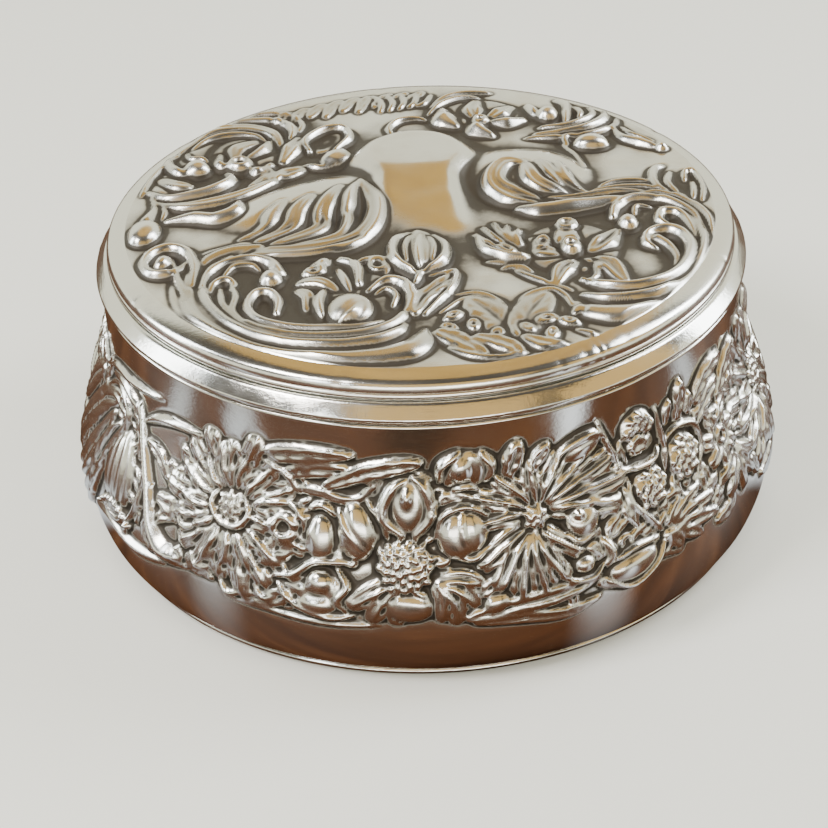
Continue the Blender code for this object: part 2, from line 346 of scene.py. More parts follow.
lid.ground = melted(
    [
        blurred(middle_arm(lid), 4.0),
        pillow(lid, 20.5, 13.5, 14.5, 12.0, 3.0, turn=-12),
        pillow(lid, -19.0, 5.5, 22.0, 9.5, 2.3, turn=22),
    ]
)
print("the cross stands", round(lid.ground.max(), 2), "mm above the plate")

# %% [markdown]
# The left leaf comes off the cross as a handful of long fingers, rolls down into a thick stem,
# and the stem becomes the large scroll.  Each finger is a fluted ridge, and the last and largest
# one is tilted, so that its outer side is steep and bright.

# %% The left leaf and its stem
lid.ridge([(-34, -8), (-29, -4), (-28, 1), (-26, 7)], 2.0, 1.0, flutes=1)
lid.ridge([(-31, -9), (-24.5, -4), (-23, 3), (-20.5, 9)], 2.2, 1.3, flutes=2)
lid.ridge([(-28, -10), (-19.5, -5), (-18, 3), (-15, 13)], 2.4, 1.6, flutes=2)
lid.ridge([(-25, -11), (-15, -7), (-13.5, 2), (-13, 9), (-11, 15.5)], 2.0, 1.9, flutes=1)
lid.ridge([(-37, -13), (-30, -11.5), (-22, -11.5), (-14, -9.5), (-9.5, -3), (-8.5, 6), (-11, 15)],
          (1.6, 2.3, 2.8, 3.2, 2.8, 2.2, 1.1), 2.6, tilt=-0.35, flutes=2)
lid.ridge([(-34, -13.5), (-26, -14.5), (-18, -13.5), (-11, -9)], 1.0, 1.6)

# %% [markdown]
# The front scroll on the left is three nested ridges with deep channels between them, ending in
# hooks and beads.  The channels are what give the scroll its dark lines, so the ridges are kept
# narrow and steep, on a low raised band that lifts the whole scroll off the plate.

# %% The front left scroll
lid.ridge([(-33, -11), (-39, -16), (-41.5, -24), (-39, -34), (-32, -42), (-22, -47), (-8, -47)],
          4.6, 0.9, taper=0.5)
lid.ridge([(-30, -10), (-36, -11), (-40.5, -15.5), (-42.7, -24), (-41.3, -32.5), (-36.5, -40),
           (-29, -46), (-20, -49.2), (-10, -49.8), (-3, -48.5), (-0.3, -45), (0.3, -41.5)],
          (1.2, 1.5, 1.5, 1.4, 1.4, 1.5, 1.7, 2.0, 2.4, 3.2, 2.4, 0.6), 2.2, tilt=-0.2)
lid.ridge([(-35, -14), (-38.6, -18), (-39.6, -25), (-38, -31.5), (-33, -39), (-26, -44),
           (-17, -46.4), (-9, -45.8), (-4.6, -43), (-3.0, -40)],
          (0.8, 1.1, 1.2, 1.2, 1.3, 1.4, 1.5, 1.6, 1.3, 0.6), 1.9)
lid.ridge([(-36.5, -26), (-35.5, -32), (-31.5, -38), (-26, -42), (-19, -44), (-11, -43.6),
           (-6, -41.2), (-3.4, -37.5), (-3, -35)],
          (0.7, 1.1, 1.3, 1.5, 1.5, 1.5, 1.4, 1.2, 0.7), 1.7)
lid.ridge([(-26, -35), (-25.8, -31), (-27.2, -28.4), (-29.6, -28.2), (-31, -30.7), (-31, -34),
           (-28.6, -38), (-24, -40.6), (-17, -41.6), (-11, -41), (-7, -39)],
          (0.7, 1.1, 1.3, 1.3, 1.2, 1.2, 1.3, 1.3, 1.3, 1.1, 0.6), 1.8)
lid.ridge([(-40, -25), (-39, -20), (-36, -16.6), (-31.5, -15.4), (-27.6, -17.2), (-26, -21)],
          (0.8, 1.1, 1.3, 1.5, 1.5, 1.6), 1.9)
lid.ridge([(-36.5, -22.5), (-34.5, -18.6), (-31.2, -18.2), (-29.4, -20.2)], 1.0, 1.1)
lid.oval(-27.4, -22.6, 2.3, 2.6, 2.4)
lid.ridge([(-38.2, -28), (-37.8, -24.6), (-35.8, -23), (-34.2, -24.6), (-35, -27.5)], 1.1, 1.4)
lid.ridge([(-34.8, -24.5), (-33.6, -29), (-33.8, -34), (-31.5, -38)], 0.9, 1.2)

# %% The curled pod and the hanging pod at the left edge
lid.ridge([(-41.6, -24), (-41.8, -17), (-43.6, -11.8), (-47, -10), (-50.2, -12), (-51.2, -16),
           (-49, -19.4), (-45.4, -19), (-43.4, -15.4)],
          (0.6, 1.2, 1.5, 1.5, 1.3, 1.2, 1.3, 1.2, 0.6), 1.8)
lid.oval(-47.6, -15.6, 1.7, 2.6, 2.2, turn=-30)
lid.ridge([(-42.4, -30), (-44.6, -22), (-46.2, -13.6)], 0.8, 1.1, taper=0.2)
lid.oval(-52.2, -3, 3.3, 4.6, 2.5, turn=-12)
lid.ridge([(-52.2, 1), (-51, 6), (-51.6, 11), (-53, 15)], (1.6, 1.0, 1.0, 0.5), 1.4)
lid.ridge([(-49.4, 0.4), (-49, 4.6), (-50.6, 8)], 0.8, 1.0)

# %% [markdown]
# The left bunch is a lily with its trumpet turned to the front, a cup below it, and a tulip bud
# with ribs that runs up onto the cross.  Overlapping petals are laid from the back of the bunch
# to the front, since each one cuts its groove into those already there.

# %% The lily, its cup and the tulip bud
lid.oval(-13, -29, 10.5, 12, 0.9)
lid.ridge([(-17, -16.5), (-18.5, -19), (-17.6, -22)], 2.3, 1.7, flutes=1)
lid.oval(-19.6, -21, 2.6, 1.9, 1.7, turn=20, hole=0.4)
lid.ridge([(-22.6, -24.5), (-18.5, -25), (-15, -28)], 1.9, 2.0, flutes=2)
lid.ridge([(-22.6, -27), (-20.4, -30), (-20.4, -34.5)], 1.8, 1.8, flutes=2)
lid.ridge([(-17.5, -27.5), (-18.4, -32), (-17.6, -37)], 1.4, 2.1)
lid.ridge([(-14.8, -16.5), (-11.8, -19.5), (-11.4, -26)], (1.1, 1.7, 1.5), 2.0, flutes=1)
lid.ridge([(-12.2, -18), (-8.5, -17), (-5.8, -18.4), (-6.6, -22.8)], 1.3, 1.8)
lid.oval(-8.0, -19.0, 2.0, 2.7, 2.2, turn=15, hole=0.55)
lid.ridge([(-15.4, -20), (-14, -24.5), (-12.8, -29)], 1.2, 1.8)
lid.ridge([(-9.6, -28.6), (-6.4, -25.4), (-3, -26.8), (-1.8, -31), (-2.6, -35.4)],
          (0.9, 1.5, 1.7, 1.6, 0.9), 2.3)
lid.ridge([(-8.8, -30.6), (-6.4, -28.8), (-4.6, -31), (-5.4, -34.6)], 1.0, 1.7)
lid.oval(-12.8, -34, 4.4, 5.0, 3.0)
lid.ridge([(-10.6, -33.5), (-12.2, -36.8), (-15, -38.4)], 0.9, 3.2)
lid.leaf([(-1.5, -37.5), (0.6, -31.5), (4.4, -26.5), (6.2, -23.4)], 2.3, 1.4, veins=4)
lid.ridge([(0.4, -24.2), (4, -23.2), (6.4, -23.2), (5.6, -28.4), (3.2, -33), (0.2, -37.4)],
          (0.4, 0.6, 0.8, 0.8, 0.8, 0.4), 1.7)
lid.oval(-0.2, -13.4, 4.6, 7.4, 2.4, turn=4, ribs=2)
lid.ridge([(-0.6, -22.5), (-4.6, -17.6), (-4.9, -11), (-2.2, -7)], (0.9, 1.5, 1.4, 0.6), 2.5)
lid.ridge([(0.2, -22.5), (3.8, -18.6), (4.6, -13), (2.6, -8)], (0.9, 1.5, 1.3, 0.6), 2.4)
lid.ridge([(-0.2, -20.5), (-0.6, -14), (0.4, -7.6)], 1.2, 2.7)
lid.ridge([(-2.6, -19), (-2.9, -13), (-1.8, -8)], 0.7, 2.6)
lid.ridge([(2, -19), (2.6, -13.6), (1.6, -8.4)], 0.7, 2.6)
lid.ridge([(-1.4, -27), (-0.6, -24.6), (0, -22)], 0.9, 1.6)
print("left side laid, highest mark", round(lid.heights.max(), 2), "mm")

# %% [markdown]
# The right side mirrors the idea but not the drawing.  A ribbed bud and a five petalled flower sit
# inside the right scroll, and the right leaf comes off the cross with one big rolled lobe.

# %% The front right scroll
lid.ridge([(46, 2), (51, -4), (52.5, -12), (51, -22), (45, -31), (36, -36)], 4.4, 0.9, taper=0.5)
lid.ridge([(55, -12), (54.4, -19), (51.6, -26), (46.6, -33), (40, -37.8), (33.4, -38.6),
           (28.2, -36.4), (27.2, -33.6)],
          (0.8, 1.5, 2.0, 2.5, 3.2, 3.0, 2.0, 0.6), 2.3, tilt=0.25)
lid.ridge([(37, 3.4), (44, 5.0), (49, 3.4), (53.4, -2.6), (55.2, -10), (54.4, -18)],
          (0.6, 1.0, 1.2, 1.2, 1.0, 0.5), 1.6)
lid.ridge([(28.6, -31.6), (33, -34), (39, -33.8), (45, -31), (49.6, -26), (52, -19),
           (52.6, -11), (51, -5), (47.6, -0.6)],
          (0.6, 1.3, 1.5, 1.5, 1.4, 1.3, 1.2, 1.1, 0.6), 2.0)
lid.ridge([(29, -26.4), (33.6, -29.4), (39, -30), (44, -27.8), (47.8, -23), (49.8, -16.6),
           (49, -11.8), (46, -9.6), (42.8, -11), (41.9, -14), (43.6, -16)],
          (0.7, 1.3, 1.5, 1.5, 1.4, 1.5, 1.6, 1.6, 1.5, 1.2, 0.6), 2.1)
lid.ridge([(44, -13.4), (46, -16), (46.9, -20), (45.8, -24)], (1.5, 1.2, 0.9, 0.3), 1.7)
lid.ridge([(51.2, -13), (50.6, -7.4), (49, -3.4), (46, -3), (45.2, -6), (47.2, -8)],
          (0.6, 1.1, 1.4, 1.4, 1.2, 0.6), 1.9)
lid.ridge([(53.4, -10), (51.6, -3), (47.4, 2), (42, 3.2), (37.8, 0.6), (36.6, -3.4)],
          (0.5, 1.1, 1.4, 1.6, 1.5, 0.9), 1.9)
lid.oval(39.2, -6.2, 2.1, 2.5, 2.3)
lid.ridge([(40.8, -3.6), (41.4, -0.6), (44.6, -1)], 0.8, 1.0)

# %% The ribbed bud and the five petalled flower
lid.ridge([(16, -21.6), (21, -26.6), (27, -31)], 0.9, 0.9)
lid.ridge([(12, -19.4), (16.4, -20.6), (20, -19.4)], 1.0, 1.0)
lid.ridge([(14.6, -22.2), (18, -22), (20.4, -24)], 0.9, 0.9)
for foot, tip in (((18.4, -18), (10, -8)), ((19, -17), (11.8, -5.6)), ((19.2, -16), (14, -3.8)),
                  ((19.4, -15), (16.4, -5.2)), ((19.5, -14), (18.8, -7.4))):
    middle = (0.5 * (foot[0] + tip[0]) - 1.2, 0.5 * (foot[1] + tip[1]))
    lid.ridge([foot, middle, tip], 1.35, 1.9, flutes=1)
lid.ridge([(10.6, -8), (11.6, -14), (15, -17.4), (18.8, -18.2), (20, -16.6)], 1.2, 2.2)
lid.oval(15.8, -14.8, 2.4, 1.5, 2.0, turn=-35, hole=0.5)
lid.oval(28, -15.5, 9, 9.5, 1.0)
lid.ridge([(29.4, -19), (26, -22.6), (24.4, -26.6)], (1.1, 2.5, 1.2), 2.0, flutes=2, hollow=0.4)
lid.ridge([(30.6, -18.6), (34.2, -21.6), (36.4, -26.6)], (1.2, 3.0, 1.4), 2.3, flutes=2, hollow=0.4)
lid.ridge([(31, -16.6), (34.2, -13), (36.8, -8.6)], (1.2, 3.0, 1.2), 2.2, flutes=2, hollow=0.4)
lid.ridge([(26.6, -17), (22.8, -16), (21, -11)], (1.2, 2.6, 1.2), 2.0, hollow=0.5)
lid.oval(22.6, -12.6, 1.7, 3.0, 2.4, turn=-15, hole=0.55)
lid.ridge([(28.4, -17), (27.2, -11.6), (27.6, -5)], (1.4, 2.9, 1.7), 2.4, hollow=0.45)
lid.oval(27.6, -6.0, 2.4, 2.3, 2.6, hole=0.5)
lid.oval(27.8, -14.4, 2.2, 2.9, 3.0, hole=0.35)
lid.oval(30.2, -20.4, 1.5, 2.0, 1.0, hole=0.8)
lid.ridge([(31.4, -22), (31.8, -26), (29.6, -29)], 0.8, 1.2)

# %% The right leaf
lid.ridge([(33, 5.6), (37, 9.4), (42, 10.4), (47.6, 8.4), (52, 3)], 0.9, 0.9)
lid.ridge([(31, 5.4), (36, 7.2), (43, 7.6), (49, 5.2), (53, 0)], 0.9, 1.1)
lid.ridge([(30.4, 6.4), (26.6, 13), (24, 20)], 2.2, 1.2, flutes=2)
lid.ridge([(33, 5.4), (29.2, 11), (27.6, 19)], 1.7, 1.0, flutes=1)
lid.ridge([(29, 5), (22.8, 10.6), (20.8, 19.6)], 2.4, 1.7, flutes=2)
lid.ridge([(25.4, 3), (17.4, 6.8), (14.6, 13.4), (16.8, 20.4), (20.6, 21.2)],
          (1.8, 3.2, 2.8, 2.2, 1.0), 2.8, tilt=0.35, flutes=2)
lid.ridge([(19, 1.8), (23, 0.6), (29, 1.4), (37, 3.2), (45, 3.8)],
          (1.0, 2.3, 2.5, 1.8, 0.6), 2.7, tilt=0.2)
lid.ridge([(24, 4.4), (30, 4.2), (37, 6), (44, 6.4)], 1.2, 1.8, flutes=1)

# %% The fronds at the right edge
lid.ridge([(48.6, 4), (46, 9), (46.2, 14.6), (48.4, 17)], 1.1, 1.3)
lid.ridge([(50, 4.4), (48.4, 9), (49.4, 14)], 1.0, 1.2)
lid.ridge([(54.2, 2), (55.2, 8), (54.4, 13), (52.4, 13.6), (51.8, 10)], 1.0, 1.5)
lid.ridge([(52.6, 2), (53.2, 6), (53.2, 9.6)], 0.8, 1.2)
print("right side laid, highest mark", round(lid.heights.max(), 2), "mm")

# %% [markdown]
# Between the two scrolls at the front lies a low spray of rose leaves.  It is chased much lower
# than the rest, so it reads mostly by its outlines.

# %% The low leaves at the front
for run, width in (
    ([(3, -37.4), (8, -32.6), (13, -33.6), (15.4, -39), (14, -44)], 1.0),
    ([(5, -31.6), (10, -31), (13.6, -34), (15.8, -38.4)], 0.7),
    ([(17, -44), (16.6, -38), (18.8, -32.6), (23, -30.6), (25.6, -33), (26.6, -37)], 1.0),
):
    lid.ridge(run, width, 0.9)
lid.leaf([(15, -45), (12.4, -39), (8.4, -33.4)], 4.2, 1.0, veins=5, depth=0.25)
lid.leaf([(17, -46), (18.8, -39), (22.6, -32)], 3.8, 1.0, veins=5, depth=0.25)
for x, y, turn, size in ((5.4, -38.5, 40, 2.4), (8.8, -41.6, 95, 2.2), (4.6, -42.2, 150, 2.0),
                         (12.8, -44.8, 70, 2.2), (21.8, -40.6, 20, 2.6), (25.6, -41.6, -20, 2.3),
                         (22.4, -45.4, 80, 2.3), (18.2, -43.4, 120, 2.1), (27.4, -38, 60, 1.9)):
    lid.oval(x, y, size, 0.62 * size, 1.4, turn=turn, ribs=1, hole=0.4)
lid.leaf([(2.4, -44), (6.4, -47), (10.8, -52.4)], 2.6, 1.2, veins=4)
lid.leaf([(9, -46), (14, -48.6), (17, -52)], 2.3, 1.2, veins=4)
lid.leaf([(17.4, -46.6), (21, -49), (25.4, -50)], 2.0, 1.1, veins=4)
lid.ridge([(4, -49), (8, -52), (13, -53), (18, -51.4)], 0.8, 0.9)
lid.ridge([(26.6, -44.4), (30, -47), (31.4, -51)], 0.9, 0.8)

# %% [markdown]
# The back half carries the same kinds of ornament, smaller because it is crowded against the
# rim: nested arches on the left with a flower and a trumpet inside, petals and beads on the
# right, and a thin band of leaves between them.

# %% The back left bunch and its arches
lid.ridge([(-50, 14), (-46, 22), (-44, 32), (-38, 40), (-28, 42)], 4.2, 0.7, taper=0.6)
lid.ridge([(-48.4, 1.4), (-43, 2), (-38.6, 1.4), (-35.2, 4.6), (-35, 8.6)],
          (0.7, 1.9, 2.1, 1.9, 0.7), 2.0)
lid.ridge([(-51.6, 9.6), (-46, 6.8), (-40, 7.6), (-34, 10.8), (-29, 16), (-26.4, 21), (-22, 23)],
          (0.6, 1.5, 1.9, 1.9, 1.6, 1.3, 0.7), 2.1, flutes=2)
lid.ridge([(-53, 13.6), (-49, 10.4), (-44, 11), (-39.2, 13.4), (-36.8, 17), (-38, 20.6)],
          (0.6, 1.1, 1.5, 1.6, 1.5, 0.7), 2.0)
lid.ridge([(-54.2, 12), (-53, 19), (-50.4, 25), (-47, 31)], 1.1, 1.3)
lid.ridge([(-51, 18.4), (-47.6, 15.4), (-44.6, 15)], 2.0, 1.5, flutes=2)
lid.ridge([(-49.6, 30.6), (-49.8, 25), (-47.4, 21), (-44, 20)], (0.7, 1.3, 1.6, 1.2), 1.8)
lid.oval(-43.8, 22.8, 3.0, 2.9, 2.6)
lid.ridge([(-46.6, 29.6), (-45.4, 26.6), (-42.6, 26), (-41, 22.6)], 1.0, 1.6)
lid.oval(-34.6, 27, 7.5, 8.5, 1.0)
lid.ridge([(-36.4, 26.4), (-36.2, 30.4), (-32, 33.6)], (1.4, 2.3, 1.4), 2.1, hollow=0.4)
lid.ridge([(-34, 26), (-31, 29.4), (-29.8, 33.4)], (1.4, 2.3, 1.4), 2.0, flutes=1)
lid.ridge([(-36, 22), (-39.4, 23.6), (-39.6, 27.6)], (1.2, 2.0, 1.2), 1.9, flutes=1)
lid.ridge([(-34, 22), (-31.4, 20), (-29.2, 23)], (1.2, 2.1, 1.2), 1.8, flutes=1)
lid.oval(-35.4, 24, 2.9, 2.9, 2.6, hole=0.36)
lid.ridge([(-48, 31), (-45, 36.6), (-40, 39.6), (-34, 39.6), (-29.2, 36.6), (-27.2, 31)],
          (0.8, 1.5, 1.9, 1.9, 1.7, 0.8), 2.1, flutes=2)
lid.ridge([(-45.6, 31), (-42.4, 35), (-38, 36.6), (-33, 36), (-30.4, 33)], 1.2, 1.6)
lid.ridge([(-39, 43.6), (-33.6, 43.4), (-28.4, 42.4), (-25.4, 39), (-25.6, 34.6)],
          (0.6, 1.2, 1.5, 1.5, 0.7), 1.7)
lid.ridge([(-36, 46), (-30, 46), (-26, 45), (-23.6, 41), (-24, 37)], 1.1, 1.3)
lid.ridge([(-26.8, 25), (-25.2, 30), (-24, 35)], (1.3, 2.7, 1.2), 2.3, flutes=2)
lid.oval(-18.4, 32.8, 3.4, 5.6, 1.9, turn=-28, hole=0.78)
lid.ridge([(-21.6, 28.6), (-22.6, 33), (-18.6, 37.8), (-14.6, 37.6), (-13.8, 33.6), (-16.6, 29)],
          (0.7, 1.1, 1.2, 1.2, 1.1, 0.6), 2.0)
lid.oval(-16.4, 25, 3.1, 3.9, 2.5, turn=-35, ribs=1)
lid.ridge([(-22.6, 22.4), (-20, 21), (-16.6, 20.4)], 0.9, 1.2)
lid.leaf([(-30.4, 16.4), (-26, 18.6), (-22.4, 20.6)], 2.1, 1.2, veins=3)
lid.leaf([(-33, 13.8), (-29.6, 18), (-29.6, 21)], 1.4, 1.1, veins=3)

# %% The leaves along the back
for i in range(9):
    foot = -29.0 + 3.4 * i
    rim = math.sqrt(56.0**2 - foot**2)
    lid.leaf([(foot, rim - 7.5 - 1.4 * (i % 2)), (foot + 1.5, rim - 4), (foot + 3.6, rim - 1.2)],
             1.5, 0.9, veins=3)
for i in range(5):
    lid.ridge([(-7.4 + 1.9 * i, 45.5 + 0.5 * i), (-7 + 2.3 * i, 49), (-9 + 3.1 * i, 53.4)], 0.9, 1.0)
lid.ridge([(-5, 34.6), (-5.6, 37.6), (-3.6, 40.6), (0, 41.6), (3, 40.6)], 1.0, 1.2)

# %% The back right petals, beads and curls
lid.oval(12, 42, 9.5, 7.5, 0.8)
lid.ridge([(3, 46.6), (6, 50.6), (10, 52.8), (16, 53.4)], 1.2, 1.4)
lid.ridge([(2.6, 43.6), (5.6, 48), (9.6, 50.4), (13.6, 50.8)], 1.2, 1.5)
lid.ridge([(12.4, 40.6), (11.8, 44.6), (12.6, 49)], (1.2, 2.9, 1.5), 2.1, flutes=2)
lid.ridge([(14.6, 40.4), (17.4, 43), (19.6, 46)], (1.2, 2.6, 1.3), 2.0, flutes=2)
lid.ridge([(14.6, 39), (18.6, 38.4), (22, 39.6)], (1.1, 2.2, 1.1), 1.8, flutes=1)
lid.ridge([(8, 38.4), (5.8, 41), (5.6, 45.4)], (1.3, 3.0, 1.4), 2.3)
lid.ridge([(12.2, 39.4), (12.4, 36), (15, 33.8)], (1.3, 2.8, 1.3), 2.3, flutes=1)
lid.oval(13.2, 40, 2.0, 2.0, 2.5, hole=0.4)
lid.ridge([(23, 46.6), (24.4, 43), (25.6, 40)], 1.4, 1.7)
lid.oval(27.2, 41.8, 2.4, 2.6, 2.6)
lid.ridge([(30.6, 36.4), (31, 41), (31.4, 45.4), (29.4, 48.6)], (0.7, 1.4, 1.3, 0.6), 1.7)
lid.ridge([(24, 33), (30, 33), (35, 34.6), (38.4, 38.6), (39, 43)], (0.7, 1.3, 1.6, 1.5, 0.7), 2.0)
lid.ridge([(25, 35.8), (30, 35.6), (34, 37.4), (36.4, 40.6), (36, 45)], 1.2, 1.7)
lid.ridge([(22, 31.4), (28, 30.6), (35, 31.2), (40, 34.6), (41.4, 39)], 1.1, 1.5)
lid.ridge([(32.6, 44.6), (34, 41.4), (33.4, 38.8)], 1.0, 1.5)
lid.oval(35, 28.2, 3.8, 2.6, 2.5)
lid.ridge([(30.4, 26.6), (30, 30), (33, 31.6)], 0.9, 1.4)
lid.ridge([(39.8, 35.4), (41.4, 30), (45, 27), (49, 24.6)], (0.6, 1.1, 1.4, 0.8), 1.5)
lid.ridge([(41.6, 34.6), (43.6, 30.8), (47.6, 27.8)], 0.7, 1.1)
lid.oval(49, 24.6, 1.3, 1.3, 1.5)
lid.ridge([(29, 27.4), (31.6, 22), (33, 17)], 0.7, 0.8)

# %% Soot in the grounds that the ornament shuts in
for x, y, wide, tall, amount, turn in (
    (-31, -29, 10, 15, 0.75, 20), (-14, -30, 13, 12, 0.7, 0), (-20, -15, 16, 4, 0.6, 8),
    (-46, -15, 6, 6, 0.45, 0), (-1, -20, 9, 14, 0.55, 0), (28, -16, 12, 13, 0.75, 0),
    (14, -13, 8, 9, 0.5, 0), (44, -19, 9, 13, 0.6, 0), (26, -1, 16, 5, 0.6, 0),
    (38, -33, 15, 5, 0.5, 20), (46, 4, 11, 7, 0.5, 0), (24, 12, 9, 9, 0.45, 0),
    (-22, 4, 12, 9, 0.45, 20), (15, -41, 15, 9, 0.45, 0), (-38, 26, 13, 13, 0.75, 0),
    (-43, 8, 12, 7, 0.6, 0), (-30, 40, 13, 7, 0.6, 0), (-20, 31, 7, 9, 0.6, 0),
    (-8, 50, 16, 5, 0.65, 0), (12, 43, 13, 10, 0.65, 0), (33, 37, 12, 11, 0.65, 0),
    (8, 0, 4, 11, 0.35, 12), (51, 10, 6, 9, 0.45, 0), (-51, 4, 5, 9, 0.4, 0),
):
    lid.smoke(x, y, wide, tall, amount, turn)
print("lid drawn, highest mark", round(lid.heights.max(), 2), "mm")

# %% [markdown]
# ## The band of flowers round the body
#
# The wall's drawing is the wall unrolled.  Across, it is measured in degrees from the front,
# because that is how the groups were spaced, and one degree is about 1.15 mm of wall.  The band
# is crowded: daisies, buds, a thistle, berries and leaves overlap with no plain metal between
# them, from the belly up to about a centimetre below the mouth.  The border goes round twice, so
# the whole drawing is laid once at the front and once at the back.  The sheet reaches a little
# past the back at either end, so the copy at the back is laid at both ends.

# %% The drawing for the wall
DEGREE = 1.15
body = Sheet((-236.0, 0.0), (236.0, 56.0), 0.25, lean=-0.35, spread=DEGREE)
body.GROOVE = 0.22


def undergrowth():
    """Small crowded leaves that fill the ground between the flowers, laid before them."""
    chance = np.random.default_rng(23)
    for _ in range(240):
        x, y = chance.uniform(-89, 91), chance.uniform(16.5, 41.5)
        way, size = chance.uniform(0, 2 * np.pi), chance.uniform(3.2, 5.2)
        if -57 < x < -38 and y > 36:
            continue
        dx, dy = size * math.cos(way) / DEGREE, 0.8 * size * math.sin(way)
        run = [(x - dx, y - dy), (x + 0.25 * dy, y - 0.25 * dx), (x + dx, y + dy)]
        body.leaf(run, chance.uniform(1.3, 2.1), chance.uniform(0.9, 1.35), veins=3)


def left_spray():
    """The poppy pod, its blade leaves and the bright bent stem."""
    for run, width in (
        ([(-88, 12), (-80, 24), (-72, 33), (-64, 38)], 3.6), ([(-90, 22), (-83, 31), (-76, 37)], 3.0),
        ([(-86, 8), (-77, 16), (-71, 25), (-66, 34)], 3.2), ([(-80, 6), (-73, 13), (-68, 22)], 2.8),
    ):
        body.leaf(run, width, 1.5, veins=4, depth=0.3)
    body.leaf([(-70, 15), (-68, 24), (-63, 33)], 3.0, 1.7, veins=5)
    body.oval(-60.5, 25, 5.6, 9.0, 2.1, ribs=5)
    body.oval(-60, 17.4, 4.6, 2.4, 2.2, hole=0.6)
    for i in range(9):
        body.oval(-64.4 + 1.1 * i, 19.2 - 0.16 * (i - 4) ** 2, 0.8, 0.8, 2.2, groove=0.4)
    body.ridge([(-72, 36.5), (-66, 39.8), (-61.5, 38), (-61, 34), (-65, 28), (-68, 20)], 1.2, 1.5)
    body.ridge([(-74, 33), (-67, 36.6), (-63.4, 35)], 1.0, 1.3)
    body.ridge([(-76, 38), (-68, 42.6), (-60, 43.6), (-50, 45)], 1.0, 1.2, taper=0.15)
    body.ridge([(-70, 40), (-64, 41.6), (-59.4, 40), (-56, 37)], 1.3, 1.4)
    body.ridge([(-56, 37.6), (-51, 40.4), (-46, 41.8), (-39, 41.6)], 1.2, 1.3, taper=0.15)
    body.ridge([(-54.5, 34), (-53, 27), (-54, 21), (-57, 16)], 0.9, 1.5)
    body.ridge([(-57.6, 39.6), (-54.8, 33), (-51.6, 26), (-49.4, 20.4), (-46.6, 17.2), (-43.6, 17)],
               (0.9, 1.5, 1.7, 2.1, 2.6, 2.2), 2.5, tilt=0.2, flutes=1)
    body.oval(-42.6, 18, 1.3, 1.8, 2.2, hole=0.7)
    body.ridge([(-70, 12), (-62, 14), (-54, 13), (-46, 14.6)], 1.6, 1.0, flutes=1)


def first_daisy():
    """A full daisy with a ringed eye and two rows of petals."""
    body.petals(-33, 30.2, 4.0, 13.8, 17, 2.9, 1.6, turn=8, stretch=0.98)
    body.petals(-33, 30.6, 3.6, 9.8, 13, 2.7, 2.0, turn=20)
    body.ridge([(-35.6, 33.4), (-36.6, 30.6), (-34.4, 28), (-31, 28.2), (-29.6, 31), (-31.6, 34)],
               1.0, 2.3)
    body.seeds(-33, 31, 3.0, 2.2, 0.62, 26)
    body.oval(-33, 31, 1.1, 1.1, 2.3, hole=0.8)
    body.leaf([(-27, 24), (-24.4, 26), (-22, 29)], 3.0, 1.4, veins=4)
    for turn in (200, 232, 264, 296, 328):
        way = math.radians(turn)
        x, y = -33 + 11.5 * math.cos(way), 30 + 13.6 * math.sin(way)
        body.ridge([(x, y + 1), (x + 1.6, y - 1.2), (x + 4.2, y - 0.4)], 0.9, 1.2)


def leaves_and_buds():
    """Long leaves over the buds left of the thistle, and a pair of clam shaped leaves."""
    body.leaf([(-32, 39.6), (-26, 43), (-19, 44.6), (-12, 45.4)], 2.2, 1.3, veins=6)
    body.leaf([(-27, 38), (-21, 41), (-14, 42), (-9, 40)], 1.8, 1.1, veins=5)
    body.leaf([(-17, 38.6), (-11, 41.8), (-5, 43.6), (-1, 44.4)], 2.1, 1.4, veins=5)
    body.ridge([(-24, 36.6), (-19, 37.6), (-13, 36.4), (-9, 38)], 1.3, 1.3, flutes=2)
    body.ridge([(-29, 42), (-24, 40), (-21, 36.4)], 1.0, 1.2)
    body.oval(-23.4, 30, 3.7, 3.6, 2.3, hole=0.32)
    body.ridge([(-26.6, 33), (-22.4, 34.4), (-20, 31.6), (-20.6, 28)], 0.8, 1.6)
    body.oval(-17.4, 29, 2.9, 4.4, 1.9)
    body.ridge([(-19.6, 34), (-17, 35.2), (-14.4, 33)], 1.1, 1.6)
    body.oval(-11.6, 31, 3.7, 5.2, 2.2, turn=12, ribs=1)
    body.ridge([(-14.6, 35), (-13, 31), (-9.6, 27)], 0.9, 2.3)
    body.ridge([(-10, 36.6), (-7.6, 33.4), (-6.4, 29.6)], 1.4, 1.8, flutes=1)
    body.oval(-17, 19, 7.4, 4.4, 1.5, turn=4)
    body.ridge([(-25, 21), (-21, 22.4), (-18, 25), (-13, 25.4)], 1.0, 1.9)
    body.ridge([(-24, 20), (-21, 17), (-16, 15.4), (-12, 15.8)], 1.2, 1.9)
    body.oval(-17.2, 21.4, 2.6, 2.4, 2.1)
    body.oval(-17.6, 17.4, 4.2, 1.9, 1.8)
    body.ridge([(-14.6, 24.4), (-12.8, 21.4), (-14.2, 18.6), (-12.6, 16)], 0.8, 2.0)
    body.leaf([(-30, 15.4), (-25, 16.6), (-21, 19)], 2.0, 1.2, veins=4)
    body.ridge([(-33, 14.2), (-26, 14.4), (-17, 13.8), (-8, 14.2)], 0.8, 0.8)


